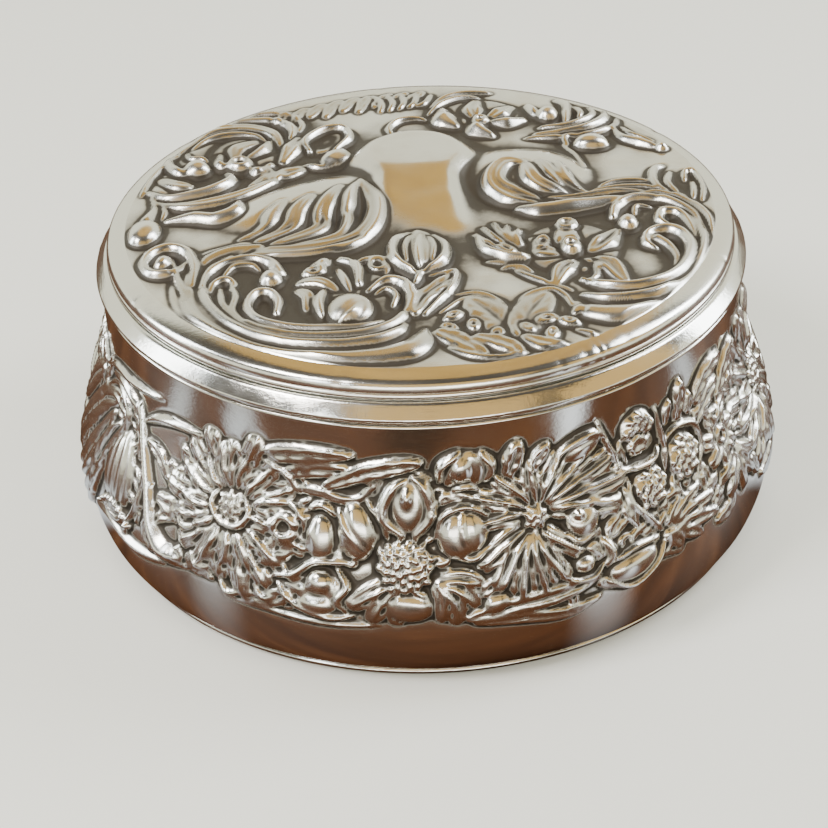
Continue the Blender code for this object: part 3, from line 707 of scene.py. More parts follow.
def thistle():
    """A thistle head of seeds between two hanging bracts, with a split bud above it."""
    bracts = ((-12.4, 17.6, 2.0), (-9.2, 15.4, 2.1), (-5.4, 15.2, 2.3))
    for run, width in body.fan((-4.6, 22.6), (-5, 23.4), bracts):
        body.ridge(run, 1.25 * width, 1.7, flutes=3)
    body.oval(-3.4, 18.4, 4.6, 3.4, 1.8)
    body.ridge([(-7, 20), (-3.8, 21.6), (-0.6, 19.8)], 1.0, 1.9)
    bracts = ((7.2, 21.4, 2.0), (6.2, 17.4, 2.2), (3.4, 15.0, 2.2), (1.2, 15.4, 1.7))
    for run, width in body.fan((0.4, 22.6), (2, 23.6), bracts):
        body.ridge(run, 1.25 * width, 1.7, flutes=3)
    body.seeds(-4, 25.6, 4.9, 2.5, 0.82, 46)
    body.oval(-3.4, 35.8, 4.0, 5.6, 2.3)
    body.ridge([(-4.4, 30.6), (-7.4, 34), (-6, 39), (-3.4, 41)], (1.0, 1.6, 1.4, 0.5), 2.4)
    body.ridge([(-2.4, 30.6), (0.2, 34.4), (-0.8, 39.4), (-2.8, 41.4)], (1.0, 1.6, 1.4, 0.5), 2.4)
    body.oval(-3.6, 37.4, 1.3, 2.4, 2.8)
    body.leaf([(0.4, 36), (3.6, 37.4), (7.4, 36.4)], 1.5, 1.3, veins=3)
    body.oval(5.6, 42.2, 5.2, 3.9, 1.6)
    body.oval(5.0, 42.4, 2.5, 3.0, 2.2)
    body.ridge([(1.6, 40), (2.0, 43.6), (5, 46)], 1.1, 1.9)
    body.ridge([(8.4, 45.6), (10, 42.6), (9, 39.6)], 1.4, 1.9, flutes=1)
    body.ridge([(3.4, 38.6), (5.8, 39.2), (8, 38.4)], 0.9, 1.6)
    body.oval(4.8, 30.6, 4.9, 4.9, 2.5)
    body.ridge([(0.6, 30), (2, 34.2), (6, 35.4), (9.4, 33)], 0.9, 2.0)
    body.ridge([(3.8, 26.6), (6.6, 26.4), (9, 28.4)], 0.9, 1.7)
    body.ridge([(5, 35), (4.8, 31), (6, 27)], 1.0, 2.7)


def second_daisy():
    """A daisy seen from its side, with long ribbed petals falling to the front."""
    for run, width in body.fan((17, 32.4), (17, 33.6), (
        (8.6, 32.2, 1.7), (8.2, 36.6, 1.7), (11.4, 39.6, 1.8), (29.6, 30.8, 2.1), (31.6, 34.6, 2.0),
        (29.6, 38.6, 1.9), (25.4, 40.6, 1.9), (20.8, 41.0, 1.8), (16.2, 40.6, 1.7),
    )):
        body.ridge(run, (1.1, 1.6 * width, 1.35 * width), 2.1, flutes=3)
    for tip_x, tip_y, width in (
        (8.4, 25.6, 1.8), (22.4, 24.6, 1.5), (10.8, 21.6, 1.9), (19.6, 20.8, 1.8), (13.4, 19.6, 1.9),
        (16.6, 20.2, 1.9),
    ):
        body.ridge([(16.4, 30.6), (0.45 * tip_x + 8.2, 0.5 * (tip_y + 31.2)), (tip_x, tip_y)],
                   (0.8, 1.5 * width, 1.4 * width), 2.3, flutes=3)
    body.seeds(16.6, 31.8, 2.4, 2.5, 0.6, 16)
    body.oval(24.2, 29.0, 3.4, 3.4, 2.3)
    body.oval(23.4, 30.4, 1.3, 1.1, 2.7)
    body.ridge([(21, 28), (23, 25.8), (26.6, 26.4)], 0.8, 2.0)
    body.oval(25.6, 42.6, 4.6, 2.8, 1.8, turn=25)
    body.ridge([(20.6, 39.6), (22, 43), (27, 45), (30, 43)], 0.9, 1.6)
    body.leaf([(12.6, 40.6), (13.6, 43.4), (14.6, 46.4)], 2.2, 1.8, veins=3)
    body.leaf([(16.4, 40.6), (18, 43), (19.6, 45)], 1.7, 1.5, veins=3)
    body.leaf([(5, 15.4), (12, 16.8), (19, 17.4), (26, 18.6)], 2.3, 1.6, veins=8, depth=0.3)
    body.leaf([(6, 14.4), (13, 14.2), (20, 13.2), (26, 14.4)], 1.5, 1.3, veins=7, depth=0.3)
    body.oval(9.4, 17.8, 2.6, 1.9, 1.5, turn=20)
    body.oval(23.6, 21.4, 2.0, 1.7, 1.7)
    body.ridge([(20.4, 22.6), (21, 19.4), (24.6, 18.8), (27, 20.6)], 0.8, 1.6)
    body.ridge([(27, 25), (28.4, 22), (27.4, 19.6)], 1.5, 1.6, flutes=1)
    body.oval(32.2, 18.0, 5.4, 3.0, 2.0, turn=8)
    body.ridge([(26.8, 17), (31, 14.4), (36, 16.6), (38.4, 20)], 0.8, 1.9)
    body.ridge([(28, 20), (32.6, 21.4), (37.4, 21)], 0.8, 1.7)


def berries():
    """Rose like berries with spiralled skins, in a nest of small leaves."""
    for x, y, wide, tall in ((36.6, 41.6, 4.0, 3.9), (37.6, 30.2, 3.9, 4.3), (46.0, 32.0, 4.4, 4.5),
                             (36.2, 38.8, 2.4, 1.9)):
        body.oval(x, y, wide, tall, 1.9)
        for i in range(22):
            out, way = math.sqrt((i + 0.5) / 22), math.radians(SPIRAL * i)
            place = (x + 0.86 * wide * out * math.cos(way) / DEGREE, y + 0.9 * tall * out * math.sin(way))
            body.oval(*place, 1.05, 0.66, 2.6 - 0.9 * out, turn=SPIRAL * i + 70, groove=0.55)
    body.ridge([(31, 36), (34, 34.8), (38.6, 34.6), (41, 36.4)], 0.9, 1.9)
    body.ridge([(28.6, 46.4), (30, 42), (31.6, 37.6), (31, 33)], 1.0, 1.7)
    body.ridge([(41, 44), (41.6, 39), (42, 36), (41.4, 31)], 0.9, 1.6)
    body.leaf([(45.6, 39.4), (46.6, 43), (46.8, 46.8)], 1.9, 1.9, veins=3)
    body.leaf([(43, 39.6), (43.6, 42), (44.4, 44)], 1.2, 1.4, veins=3)
    body.leaf([(48.8, 39), (49.6, 41), (49.6, 43)], 1.2, 1.4, veins=3)
    tips = ((43, 25.6), (47.4, 25.8), (50.6, 22.6), (51, 18.8), (46.6, 16.8), (41.6, 17))
    for run, in body.fan((38.6, 20.8), (39, 21.6), tips):
        body.leaf(run, 1.7, 1.7, veins=4)
    body.ridge([(41.6, 36), (45, 38), (49.6, 36.6), (50.6, 32), (48.4, 27.4)], 0.9, 1.6)
    body.ridge([(33.6, 34), (33.6, 29), (36, 25), (38.4, 21.6)], 0.9, 1.4)
    body.leaf([(31.6, 33.6), (32.4, 29), (33.8, 24.6)], 1.6, 1.2, veins=4)


def sunflower():
    """A rose, a fan of broad leaves, and the sunflower on the turn of the wall."""
    body.oval(56, 30, 5.6, 5.0, 1.6)
    body.petals(56, 30, 1.6, 5.8, 7, 2.2, 2.1, turn=12, flutes=2)
    body.oval(56, 30.4, 1.9, 1.9, 2.5, hole=0.5)
    body.leaf([(50, 36), (54, 38.6), (59, 41)], 2.4, 1.6, veins=4)
    body.leaf([(51, 40), (55, 44), (60, 45.6)], 2.4, 1.6, veins=4)
    body.leaf([(58, 36), (62, 41), (66, 45.4)], 2.2, 1.6, veins=4)
    body.leaf([(53, 36), (57, 34.6), (61, 36.4)], 1.6, 1.6, veins=3)
    tips = ((53.6, 22.8), (55, 18.8), (60, 17.4), (64, 18.6), (66, 22.6))
    for run, in body.fan((60, 26), (59, 25), tips):
        body.ridge(run, 1.9, 1.8, flutes=2)
    body.petals(76, 31.0, 4.2, 14.6, 17, 3.1, 1.6, turn=4)
    body.petals(76, 31.4, 4.0, 10.4, 13, 2.8, 2.0, turn=16)
    body.seeds(76, 31.4, 4.4, 2.3, 0.85, 40)
    body.leaf([(84, 42), (89, 38), (92, 32)], 2.2, 1.4, veins=4)
    body.leaf([(86, 20), (90, 16), (97, 14)], 2.4, 1.3, veins=4)
    body.leaf([(68, 14.6), (74, 13.4), (81, 14.4)], 1.8, 1.1, veins=5)


# %% Lay the border twice round
for body.shift in (0.0, 180.0, -180.0):
    for group in (undergrowth, left_spray, leaves_and_buds, first_daisy, sunflower, berries,
                  second_daisy, thistle):
        group()
    body.smoke(0, 30, 112, 13, 0.15)
print("wall drawn, highest mark", round(body.heights.max(), 2), "mm")

# %% [markdown]
# ## Camera and stage
#
# The box stands on a plain pale floor.  Polished silver shows almost nothing of itself, it shows
# the room.  So the room is built for it: a wooden table top, wooden boards overhead, warm walls in
# front and on the right, windows and a bright doorway exist for reflections only, and the camera
# never sees them.

# %% The camera looks down at the front
CAMERA_PLACE = (0.0, -373.7, 259.3)
CAMERA_TURN, CAMERA_DOWN, CAMERA_ROLL = 0.39, 33.25, -2.3
LENS, SENSOR, NEAREST_SEEN = 95.65, 36.0, 10
camera_lens = bpy.data.cameras.new("camera")
camera_lens.lens, camera_lens.sensor_width = LENS, SENSOR
camera_lens.clip_start = NEAREST_SEEN * MM
camera = bpy.data.objects.new("camera", camera_lens)
bpy.context.scene.collection.objects.link(camera)
bpy.context.scene.camera = camera
camera.matrix_world = (
    Matrix.Translation([c * MM for c in CAMERA_PLACE])
    @ Matrix.Rotation(math.radians(CAMERA_TURN), 4, "Z")
    @ Matrix.Rotation(math.radians(90 - CAMERA_DOWN), 4, "X")
    @ Matrix.Rotation(math.radians(CAMERA_ROLL), 4, "Z")
)
print("camera stands", round(camera.location.length / MM), "mm from the middle of the foot")

# %% [markdown]
# ## Writing materials
#
# A material is a small sum: more soot where the metal is hollow, painted shade round raised
# ornament, less where a thumb has rubbed it.  It reads best as a sum, so sockets are wrapped in a
# class whose operators add the Math nodes, and every other node comes from one method.


# %% Shader maths as expressions
class Value:
    """A number that varies over a surface, as the output of a node."""

    def __init__(self, finish, socket):
        self.finish, self.socket = finish, socket

    def maths(self, operation, first, second):
        made = self.finish.node("ShaderNodeMath", {"operation": operation}, {0: first, 1: second})
        return Value(self.finish, made.outputs[0])

    def __add__(self, other):
        return self.maths("ADD", self, other)

    def __radd__(self, other):
        return self.maths("ADD", other, self)

    def __sub__(self, other):
        return self.maths("SUBTRACT", self, other)

    def __rsub__(self, other):
        return self.maths("SUBTRACT", other, self)

    def __mul__(self, other):
        return self.maths("MULTIPLY", self, other)

    def __rmul__(self, other):
        return self.maths("MULTIPLY", other, self)

    def above(self, low, high):
        """0 below low, 1 over high, and smooth between."""
        made = self.finish.node(
            "ShaderNodeMapRange",
            {"interpolation_type": "SMOOTHSTEP"},
            {"Value": self, "From Min": low, "From Max": high},
        )
        return Value(self.finish, made.outputs["Result"])

    def least(self, other):
        return self.maths("MINIMUM", self, other)


class Finish:
    """A material under construction, with one shader and helpers for what feeds it."""

    def __init__(self, name):
        self.material = bpy.data.materials.new(name)
        self.material.use_nodes = True
        self.tree = self.material.node_tree
        self.tree.nodes.clear()
        self.shader = self.node("ShaderNodeBsdfPrincipled")
        self.node("ShaderNodeOutputMaterial", {}, {"Surface": self.shader.outputs["BSDF"]})
        place = self.node("ShaderNodeTexCoord")
        self.place = place.outputs["Object"]

    def node(self, kind, settings=None, sockets=None):
        made = self.tree.nodes.new(kind)
        for key, setting in (settings or {}).items():
            if key == "stops":
                for stop, (at, colour) in zip(self.stops(made, len(setting)), setting):
                    stop.position, stop.color = at, (*colour, 1.0)
            else:
                setattr(made, key, setting)
        for key, source in (sockets or {}).items():
            self.set(made.inputs[key], source)
        return made

    @staticmethod
    def stops(ramp, count):
        while len(ramp.color_ramp.elements) < count:
            ramp.color_ramp.elements.new(0.5)
        return ramp.color_ramp.elements

    def set(self, socket, source):
        source = source.socket if isinstance(source, Value) else source
        if isinstance(source, bpy.types.NodeSocket):
            self.tree.links.new(source, socket)
        elif hasattr(source, "__len__") and socket.type == "RGBA":
            socket.default_value = (*source, 1.0)
        else:
            socket.default_value = source

    def give(self, **sockets):
        """Sets the shader's sockets, with spaces written as underscores."""
        for key, source in sockets.items():
            self.set(self.shader.inputs[key.replace("_", " ")], source)

    def noise(self, size, detail=4.0, stretch=(1.0, 1.0, 1.0), rough=0.55, warp=0.0):
        """Cloudy noise whose patches are about size millimetres across."""
        scaled = self.node(
            "ShaderNodeVectorMath", {"operation": "MULTIPLY"}, {0: self.place, 1: stretch}
        )
        made = self.node(
            "ShaderNodeTexNoise",
            {},
            {"Vector": scaled.outputs[0], "Scale": 1000.0 / size, "Detail": detail,
             "Roughness": rough, "Distortion": warp},
        )
        return Value(self, made.outputs["Fac"])

    def painted(self, name):
        """A number stored on the mesh for each corner point."""
        return Value(self, self.node("ShaderNodeAttribute", {"attribute_name": name}).outputs["Fac"])

    def blend(self, mask, base, over):
        """Colour over laid on colour base where mask is 1."""
        made = self.node("ShaderNodeMix", {"data_type": "RGBA"}, {0: mask, 6: base, 7: over})
        return made.outputs[2]

    def bump(self, height, depth):
        """The shader's normal, tilted by a height field of that depth in millimetres."""
        made = self.node(
            "ShaderNodeBump", {}, {"Height": height, "Distance": depth * MM, "Strength": 1.0}
        )
        self.give(Normal=made.outputs["Normal"])


# %% [markdown]
# The floor is pale and plain.  The table top is a second plane a hair above it, which only
# mirror rays can see, so the silver picks up brown wood while the floor stays pale.


# %% Flat stage cards
def card(name, size, place, turn, material):
    """A flat rectangle of the stage, size in millimetres, turned in degrees."""
    wide, tall = size[0] * MM / 2, size[1] * MM / 2
    mesh = bpy.data.meshes.new(name)
    corners = [(-wide, -tall, 0), (wide, -tall, 0), (wide, tall, 0), (-wide, tall, 0)]
    mesh.from_pydata(corners, [], [(0, 1, 2, 3)])
    mesh.materials.append(material)
    made = bpy.data.objects.new(name, mesh)
    made.location = [c * MM for c in place]
    made.rotation_euler = [math.radians(angle) for angle in turn]
    bpy.context.scene.collection.objects.link(made)
    return made


def mirror_only(made):
    """Only mirror rays see this card."""
    made.visible_camera = made.visible_diffuse = made.visible_shadow = False
    made.visible_transmission = made.visible_volume_scatter = False
    return made


def faded(finish, soft, edge=0.75):
    """Cut a card to an oval of that size, whose edge fades over a share of its radius."""
    scale = (2 / (soft[0] * MM), 2 / (soft[1] * MM), 1.0)
    near = finish.node("ShaderNodeVectorMath", {"operation": "MULTIPLY"}, {0: finish.place, 1: scale})
    fade = finish.node("ShaderNodeTexGradient", {"gradient_type": "SPHERICAL"},
                       {"Vector": near.outputs[0]})
    finish.give(Alpha=Value(finish, fade.outputs["Fac"]).above(0.0, edge))


def glow(name, colour, strength, soft=None):
    """A card material that only shines.  Soft is a card size over which the glow fades out."""
    finish = Finish(name)
    finish.give(Base_Color=(0.0, 0.0, 0.0), Roughness=1.0, Specular_IOR_Level=0.0,
                Emission_Color=colour, Emission_Strength=strength)
    if soft:
        faded(finish, soft)
    return finish.material


# %% The floor and the table top
pale = Finish("pale_floor")
pale.give(Base_Color=(0.82, 0.81, 0.79), Roughness=0.9, Specular_IOR_Level=0.1)
floor = card("floor", (6000, 6000), (0, 0, 0), (0, 0, 0), pale.material)
floor.visible_glossy = False

wood = Finish("table_wood")
grain = wood.noise(9, detail=6, stretch=(0.12, 1.0, 1.0), warp=0.6)
planks = wood.node(
    "ShaderNodeValToRGB",
    {"stops": [(0.25, (0.024, 0.007, 0.002)), (0.55, (0.070, 0.024, 0.008)),
               (0.80, (0.15, 0.060, 0.024))]},
    {"Fac": grain},
)
wood.give(Base_Color=planks.outputs["Color"], Roughness=0.6, Specular_IOR_Level=0.12)
mirror_only(card("table_top", (1700, 1700), (0, 0, 0.1), (0, 0, 0), wood.material))

# %% [markdown]
# A window also lights a long streak on the table.  Seen from above, the wall mirrors the table,
# so it shows each streak as a bright bar, at half the angle that the streak points in.  A darker
# patch in front stands for shade on the table.

# %% Streaks of daylight and a patch of shade on the table
DAYLIGHT, STREAK_START, STREAK_LONG = (0.88, 0.94, 1.0), -10, 250
daylight = glow("window_on_table", DAYLIGHT, 1.1, soft=(30, STREAK_LONG))
low_daylight = glow("low_window_on_table", DAYLIGHT, 1.7, soft=(34, STREAK_LONG))
for name, face, wide, light in (
    ("pool_left", -34, 30, daylight), ("pool_right", 25.5, 34, low_daylight),
    ("pool_back_left", 150, 30, daylight), ("pool_back_right", 212, 30, daylight),
):
    here, way, middle = math.radians(face), math.radians(2 * face), STREAK_START + 0.5 * STREAK_LONG
    x = NECK_RADIUS * math.sin(here) + middle * math.sin(way)
    y = -NECK_RADIUS * math.cos(here) - middle * math.cos(way)
    mirror_only(card(name, (wide, STREAK_LONG), (x, y, 0.3), (0, 0, 2 * face), light))
SHADED = (74, 100)
shade = Finish("table_in_shade")
shade.give(Base_Color=(0.022, 0.010, 0.004), Roughness=0.8, Specular_IOR_Level=0.1)
faded(shade, SHADED)
mirror_only(card("shade_in_front", SHADED, (-6, -150, 0.2), (0, 0, 6), shade.material))

# %% The boards overhead, the warm walls, the doorway and the windows
PANEL = (610, 600)
boards = Finish("warm_boards")
streak = boards.noise(60, detail=5, stretch=(1.0, 0.25, 1.0), warp=0.8)
boards.give(Base_Color=(0.0, 0.0, 0.0), Roughness=1.0, Specular_IOR_Level=0.0,
            Emission_Color=boards.blend(streak.above(0.35, 0.7), (0.96, 0.61, 0.18), (0.58, 0.35, 0.11)),
            Emission_Strength=1.0)
faded(boards, PANEL, edge=0.10)
dim = glow("dim_ceiling", (0.17, 0.15, 0.12), 0.55)
warm = glow("warm_wall", (1.0, 0.66, 0.24), 0.95)
doorway = glow("doorway_light", (1.0, 0.98, 0.92), 6.5)
window = glow("window_light", (0.90, 0.96, 1.0), 12.0)
CARDS = (
    ("ceiling", (5200, 4200), (0, -1350, 1000), (0, 0, 0), dim),
    ("ceiling_panel", PANEL, (30, 290, 600), (-26, 0, 0), boards.material),
    ("warm_wall_in_front", (1050, 640), (110, -880, 660), (52, 0, 0), warm),
    ("warm_wall_right", (720, 520), (835, -337, 540), (90, 0, 68), warm),
    ("doorway_in_front", (1500, 300), (0, -1500, 290), (90, 0, 0), doorway),
    ("window_left", (260, 700), (-800, 60, 430), (90, 0, 86), window),
    ("window_right", (260, 700), (760, 240, 430), (90, 0, -72), window),
    ("window_front_left", (150, 420), (-620, -820, 520), (90, 0, 143), window),
)
for name, size, place, turn, light in CARDS:
    mirror_only(card(name, size, place, turn, light))


def lamp(name, place, size, power, colour):
    """A soft square lamp aimed at the middle of the box, half way up."""
    light = bpy.data.lights.new(name, "AREA")
    light.size, light.energy, light.color = size * MM, power, colour
    made = bpy.data.objects.new(name, light)
    made.location = [c * MM for c in place]
    aim = Vector((0, 0, 0.03)) - made.location
    made.rotation_euler = aim.to_track_quat("-Z", "Y").to_euler()
    bpy.context.scene.collection.objects.link(made)


lamp("key", (-420, -260, 620), 260, 5.0, (1.0, 0.98, 0.95))
lamp("fill", (520, 120, 560), 320, 3.0, (0.95, 0.98, 1.0))
sky = bpy.data.worlds.new("soft_room")
bpy.context.scene.world = sky
sky.use_nodes = True
background = sky.node_tree.nodes["Background"]
background.inputs["Color"].default_value = (1.0, 1.0, 0.82, 1.0)
background.inputs["Strength"].default_value = 1.32
print(len(CARDS), "cards stand over and round the box, for mirror rays only")

# %% [markdown]
# ## The finish of old silver
#
# Silver darkens with sulphur in the air.  Where a cloth reaches it stays bright, and in the
# hollows it turns brown and nearly black.  The same darkening is also spread softly over the flat
# metal round the raised ornament as painted shade.  So the finish needs to know how hollow each
# spot is.  That is measured once on the height field, by comparing each height with the average
# around it, and stored on the mesh.  The rest is light wear: fine scratches and faint yellow clouds.


# %% Measure patina, painted shade and wear for each spot
def patina_shade_and_wear(heights, grain, soot, ornament, drift=0.0):
    """How dark with patina and painted shade, how rubbed and how chased each spot is, each from 0 to 1."""
    fine = blurred(heights, 0.5 / grain) - heights
    broad = blurred(heights, 2.0 / grain) - heights
    far = blurred(heights, 5.0 / grain) - heights
    low = 1 - np.clip(ornament / 1.5, 0, 1)
    crowd = blurred(np.clip(ornament, 0, 1), (2.0 + 3.0 * drift) / grain)
    shut_in = soot * low * np.clip(3.0 * crowd - 0.5, 0, 1)
    # The fine term finds the crevices, where real patina sits.  The broad and far terms darken the flat
    # metal round the raised ornament: painted shade, a soft shadow of the relief.
    patina_and_shade = np.clip(2.7 * fine + 0.5 * broad + drift * far - 0.03 + 0.75 * shut_in, 0, 1)
    rubbed = np.clip(-1.3 * broad - 0.25, 0, 1)
    chased = np.clip(blurred(np.clip(ornament / 0.5, 0, 1), 0.5 / grain), 0, 1)
    return patina_and_shade, rubbed, chased


# %% The silver
def silver(name, haze=0.14, warm=0.35, dullness=0.5, scratches=1.0, clean=0.04, black=0.97):
    """Polished silver with soot in its hollows, painted shade round its relief, clouds of tarnish and fine
    scratches.
    """
    finish = Finish(name)
    patina_and_shade = finish.painted("hollow")
    rubbed = finish.painted("rubbed")
    chased = finish.painted("chased")
    clouds = finish.noise(16, detail=5, rough=0.6).above(0.42, 0.72)
    specks = finish.noise(1.6, detail=5, rough=0.7)
    # The soot is near black where the hollow numbers are high: real patina in the crevices, and painted
    # shade on the flat metal round the relief.
    soot = (patina_and_shade * (0.7 + 0.6 * specks)).above(clean, clean + 0.46)
    veil = (clouds * warm * (1 - 0.7 * rubbed)).least(1.0)
    metal = finish.blend(veil, (0.80, 0.785, 0.725), (0.60, 0.53, 0.40))
    dull = finish.blend(chased * (1 - rubbed) * dullness, metal, (0.34, 0.32, 0.28))
    bright = finish.blend(rubbed * 0.6, dull, (0.92, 0.91, 0.87))
    colour = finish.blend(soot * black, bright, (0.028, 0.021, 0.015))
    fine_lines = finish.noise(0.5, detail=3, stretch=(0.06, 1.0, 1.0))
    cross_lines = finish.noise(0.6, detail=3, stretch=(1.0, 0.08, 1.0))
    finish.give(
        Base_Color=colour,
        Metallic=1.0 - 0.35 * soot,
        Specular_IOR_Level=0.25,
        Roughness=(haze + 0.08 * clouds + 0.05 * fine_lines + 0.07 * chased + 0.34 * soot).least(0.75),
    )
    finish.bump(fine_lines + cross_lines + 1.4 * finish.noise(7, detail=2), 0.012 * scratches)
    return finish.material


SILVER = silver("worn_silver_with_painted_shade", clean=0.0, black=0.95)
WALL_SILVER = silver("wall_silver", haze=0.085, warm=0.25, dullness=0.08, clean=0.13)
RIM_SILVER = silver("rim_silver", haze=0.11, warm=0.15, dullness=0.0, scratches=1.6)
print("three silvers mixed: for the lid, for the wall and for the rims")

# %% [markdown]
# ## Bending sheet into turned parts
#
# Every metal part is a section swept round the axis.  One helper lays a grid of points round
# the axis and closes it both ways.  The plain parts use it as it is, and the wall adds the
# relief on the way.


# %% Meshes from grids of points
def mesh_piece(name, points, quads, stored, material, body):
    """An object from arrays, in millimetres, with numbers stored on its points."""
    mesh = bpy.data.meshes.new(name)
    mesh.vertices.add(len(points))
    mesh.vertices.foreach_set("co", (np.asarray(points, np.float32) * MM).ravel())
    mesh.loops.add(quads.size)
    mesh.loops.foreach_set("vertex_index", quads.ravel().astype(np.int32))
    mesh.polygons.add(len(quads))
    starts = np.arange(0, quads.size, quads.shape[1], dtype=np.int32)
    mesh.polygons.foreach_set("loop_start", starts)
    mesh.update(calc_edges=True)
    mesh.polygons.foreach_set("use_smooth", np.ones(len(quads), bool))
    for key, numbers in stored.items():
        layer = mesh.attributes.new(key, "FLOAT", "POINT")
        layer.data.foreach_set("value", np.asarray(numbers, np.float32).ravel())
    mesh.materials.append(material)
    made = bpy.data.objects.new(name, mesh)
    bpy.context.scene.collection.objects.link(made)
    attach(made, body)
    return made


def ring_quads(rows, columns, closed=True):
    """Faces of a grid of rows that runs round the axis, and closes on itself if asked."""
    j, i = np.meshgrid(np.arange(rows if closed else rows - 1), np.arange(columns), indexing="ij")
    j, i = j.ravel(), i.ravel()
    up, on = (j + 1) % rows, (i + 1) % columns
    return np.stack([j * columns + i, j * columns + on, up * columns + on, up * columns + i], 1)


def swept(radii, heights, columns):
    """Points of a section swept round the axis, one row for each corner of the section."""
    way = np.linspace(0, 2 * np.pi, columns, endpoint=False) - 0.5 * np.pi
    radii = np.broadcast_to(np.reshape(radii, (len(heights), -1)), (len(heights), columns))
    heights = np.broadcast_to(np.reshape(heights, (len(heights), -1)), radii.shape)
    return np.stack([radii * np.cos(way), radii * np.sin(way), heights], 2)


def turned(name, section, body, columns=480, hollow=0.0, wobble=0.0, ragged=None,
           material=SILVER):
    """A plain turned part with a rounded closed section of (radius, height) corners."""
    corners = np.array(section, float)
    radii, heights = corners[:, 0:1] + np.zeros(columns), corners[:, 1:2] + np.zeros(columns)
    way = np.linspace(0, 2 * np.pi, columns, endpoint=False)
    radii = radii + wobble * (np.sin(3 * way + 0.7) + 0.6 * np.sin(7 * way) + 0.4 * np.sin(17 * way))
    if ragged:
        torn = np.random.default_rng(11).normal(size=columns)
        torn = np.convolve(np.tile(torn, 3), np.ones(5) / 5, "same")[columns : 2 * columns]
        near = np.exp(-(((corners[:, 1:2] - ragged[0]) / ragged[1]) ** 2))
        heights = heights + ragged[2] * near * torn
    points = swept(radii, heights, columns).reshape(-1, 3)
    patina_and_shade = np.full(len(points), hollow)
    stored = {"hollow": patina_and_shade, "rubbed": np.full(len(points), 0.3), "chased": 0 * patina_and_shade}
    quads = ring_quads(len(corners), columns)
    return mesh_piece(name, points, quads, stored, material, body)


def rounded(corners):
    """A closed section with every corner eased by up to 0.6 mm, from its corner places."""
    places, eased = np.array(corners, float), []
    for i, here in enumerate(places):
        back, on = places[i - 1], places[(i + 1) % len(places)]
        ease = min(0.45 * np.linalg.norm(here - back), 0.45 * np.linalg.norm(on - here), 0.6)
        start = here + (back - here) / np.linalg.norm(back - here) * ease
        stop = here + (on - here) / np.linalg.norm(on - here) * ease
        for t in np.linspace(0, 1, 5):
            eased.append((1 - t) ** 2 * start + 2 * t * (1 - t) * here + t**2 * stop)
    return np.array(eased)
# %% [markdown]
# ## The lid
#
# The crown is one sheet: the chased plate, a rounded shoulder and a short drop at its edge.  A
# square grid wrapped onto a disc keeps its cells nearly the same size from the middle to the
# rim, where spokes and rings would crowd the middle.  The underside is a plain, coarser skin,
# because the lid's card and cushion cover it.  The shoulder is what gets knocked when the lid is
# put down, so it carries a few small dents.

# %% Lay the ornament on the lid
PLATE = LID_RADIUS - 3.8
PLATE_TOP = 60.5
lid_heights = blurred(lid.ground + lid.heights, 1.5)
far_x, far_y = np.meshgrid(lid.x, lid.y)
lid_heights *= np.clip((PLATE + 0.4 - np.hypot(far_x, far_y)) / 1.2, 0, 1)
planish = blurred(np.random.default_rng(7).normal(size=lid.ground.shape), 9)
lid_heights += 0.05 * planish / planish.std()
# The lid's soot numbers hold real patina in the crevices and painted shade round the motifs; drift 0.4
# spreads that painted shade out to about 5 mm.
lid_patina_and_shade, lid_rubbed, lid_chased = patina_shade_and_wear(
    lid_heights, lid.grain, lid.soot, lid.heights, drift=0.4
)


def disc_grid(radius, cells):
    """A square grid wrapped onto a disc, its faces, and its edge points in order round it."""
    line = np.linspace(-1, 1, cells + 1)
    a, b = np.meshgrid(line, line)
    wide = np.abs(a) > np.abs(b)
    reach = np.where(wide, a, b)
    with np.errstate(divide="ignore", invalid="ignore"):
        way = np.where(wide, 0.25 * np.pi * b / a, 0.5 * np.pi - 0.25 * np.pi * a / b)
    way = np.nan_to_num(way)
    x, y = radius * reach * np.cos(way), radius * reach * np.sin(way)
    index = np.arange((cells + 1) ** 2).reshape(cells + 1, cells + 1)
    quads = np.stack([index[:-1, :-1], index[:-1, 1:], index[1:, 1:], index[1:, :-1]], -1)
    edge = np.concatenate([index[0, :-1], index[:-1, -1], index[-1, :0:-1], index[:0:-1, 0]])
    return np.stack([x.ravel(), y.ravel()], 1), quads.reshape(-1, 4), edge


CROWN_CELLS = 330
plate, plate_quads, plate_edge = disc_grid(PLATE, CROWN_CELLS)
rise, *plate_marks = (
    lid.at(field, plate[:, 0], plate[:, 1]) for field in (lid_heights, lid_patina_and_shade, lid_rubbed, lid_chased)
)
crown_points, crown_quads = [np.column_stack([plate, PLATE_TOP + rise])], [plate_quads]
crown_marks = {key: [field] for key, field in zip(("hollow", "rubbed", "chased"), plate_marks)}
edge_way = np.arctan2(plate[plate_edge, 1], plate[plate_edge, 0])
last, total = plate_edge, len(plate)
turn_over = smooth_path(
    [(PLATE, PLATE_TOP), (PLATE + 1.0, PLATE_TOP - 0.25), (PLATE + 2.0, PLATE_TOP - 0.57),
     (PLATE + 2.8, PLATE_TOP - 0.92), (LID_RADIUS - 0.42, PLATE_TOP - 1.35),
     (LID_RADIUS - 0.1, PLATE_TOP - 2.0), (LID_RADIUS, LID_LOW + 0.35), (LID_RADIUS - 0.1, LID_LOW)],
    grain=0.2,
)[0][1:]
shoulder = [(radius, height, 0.0) for radius, height in turn_over]
under = [(LID_RADIUS - SHEET, LID_LOW, 0.3), (LID_RADIUS - SHEET, LID_LOW + 0.5, 0.3),
         (LID_RADIUS - 2.4, LID_LOW + 1.8, 0.2), (PLATE - 0.5, PLATE_TOP - SHEET, 0.2)]
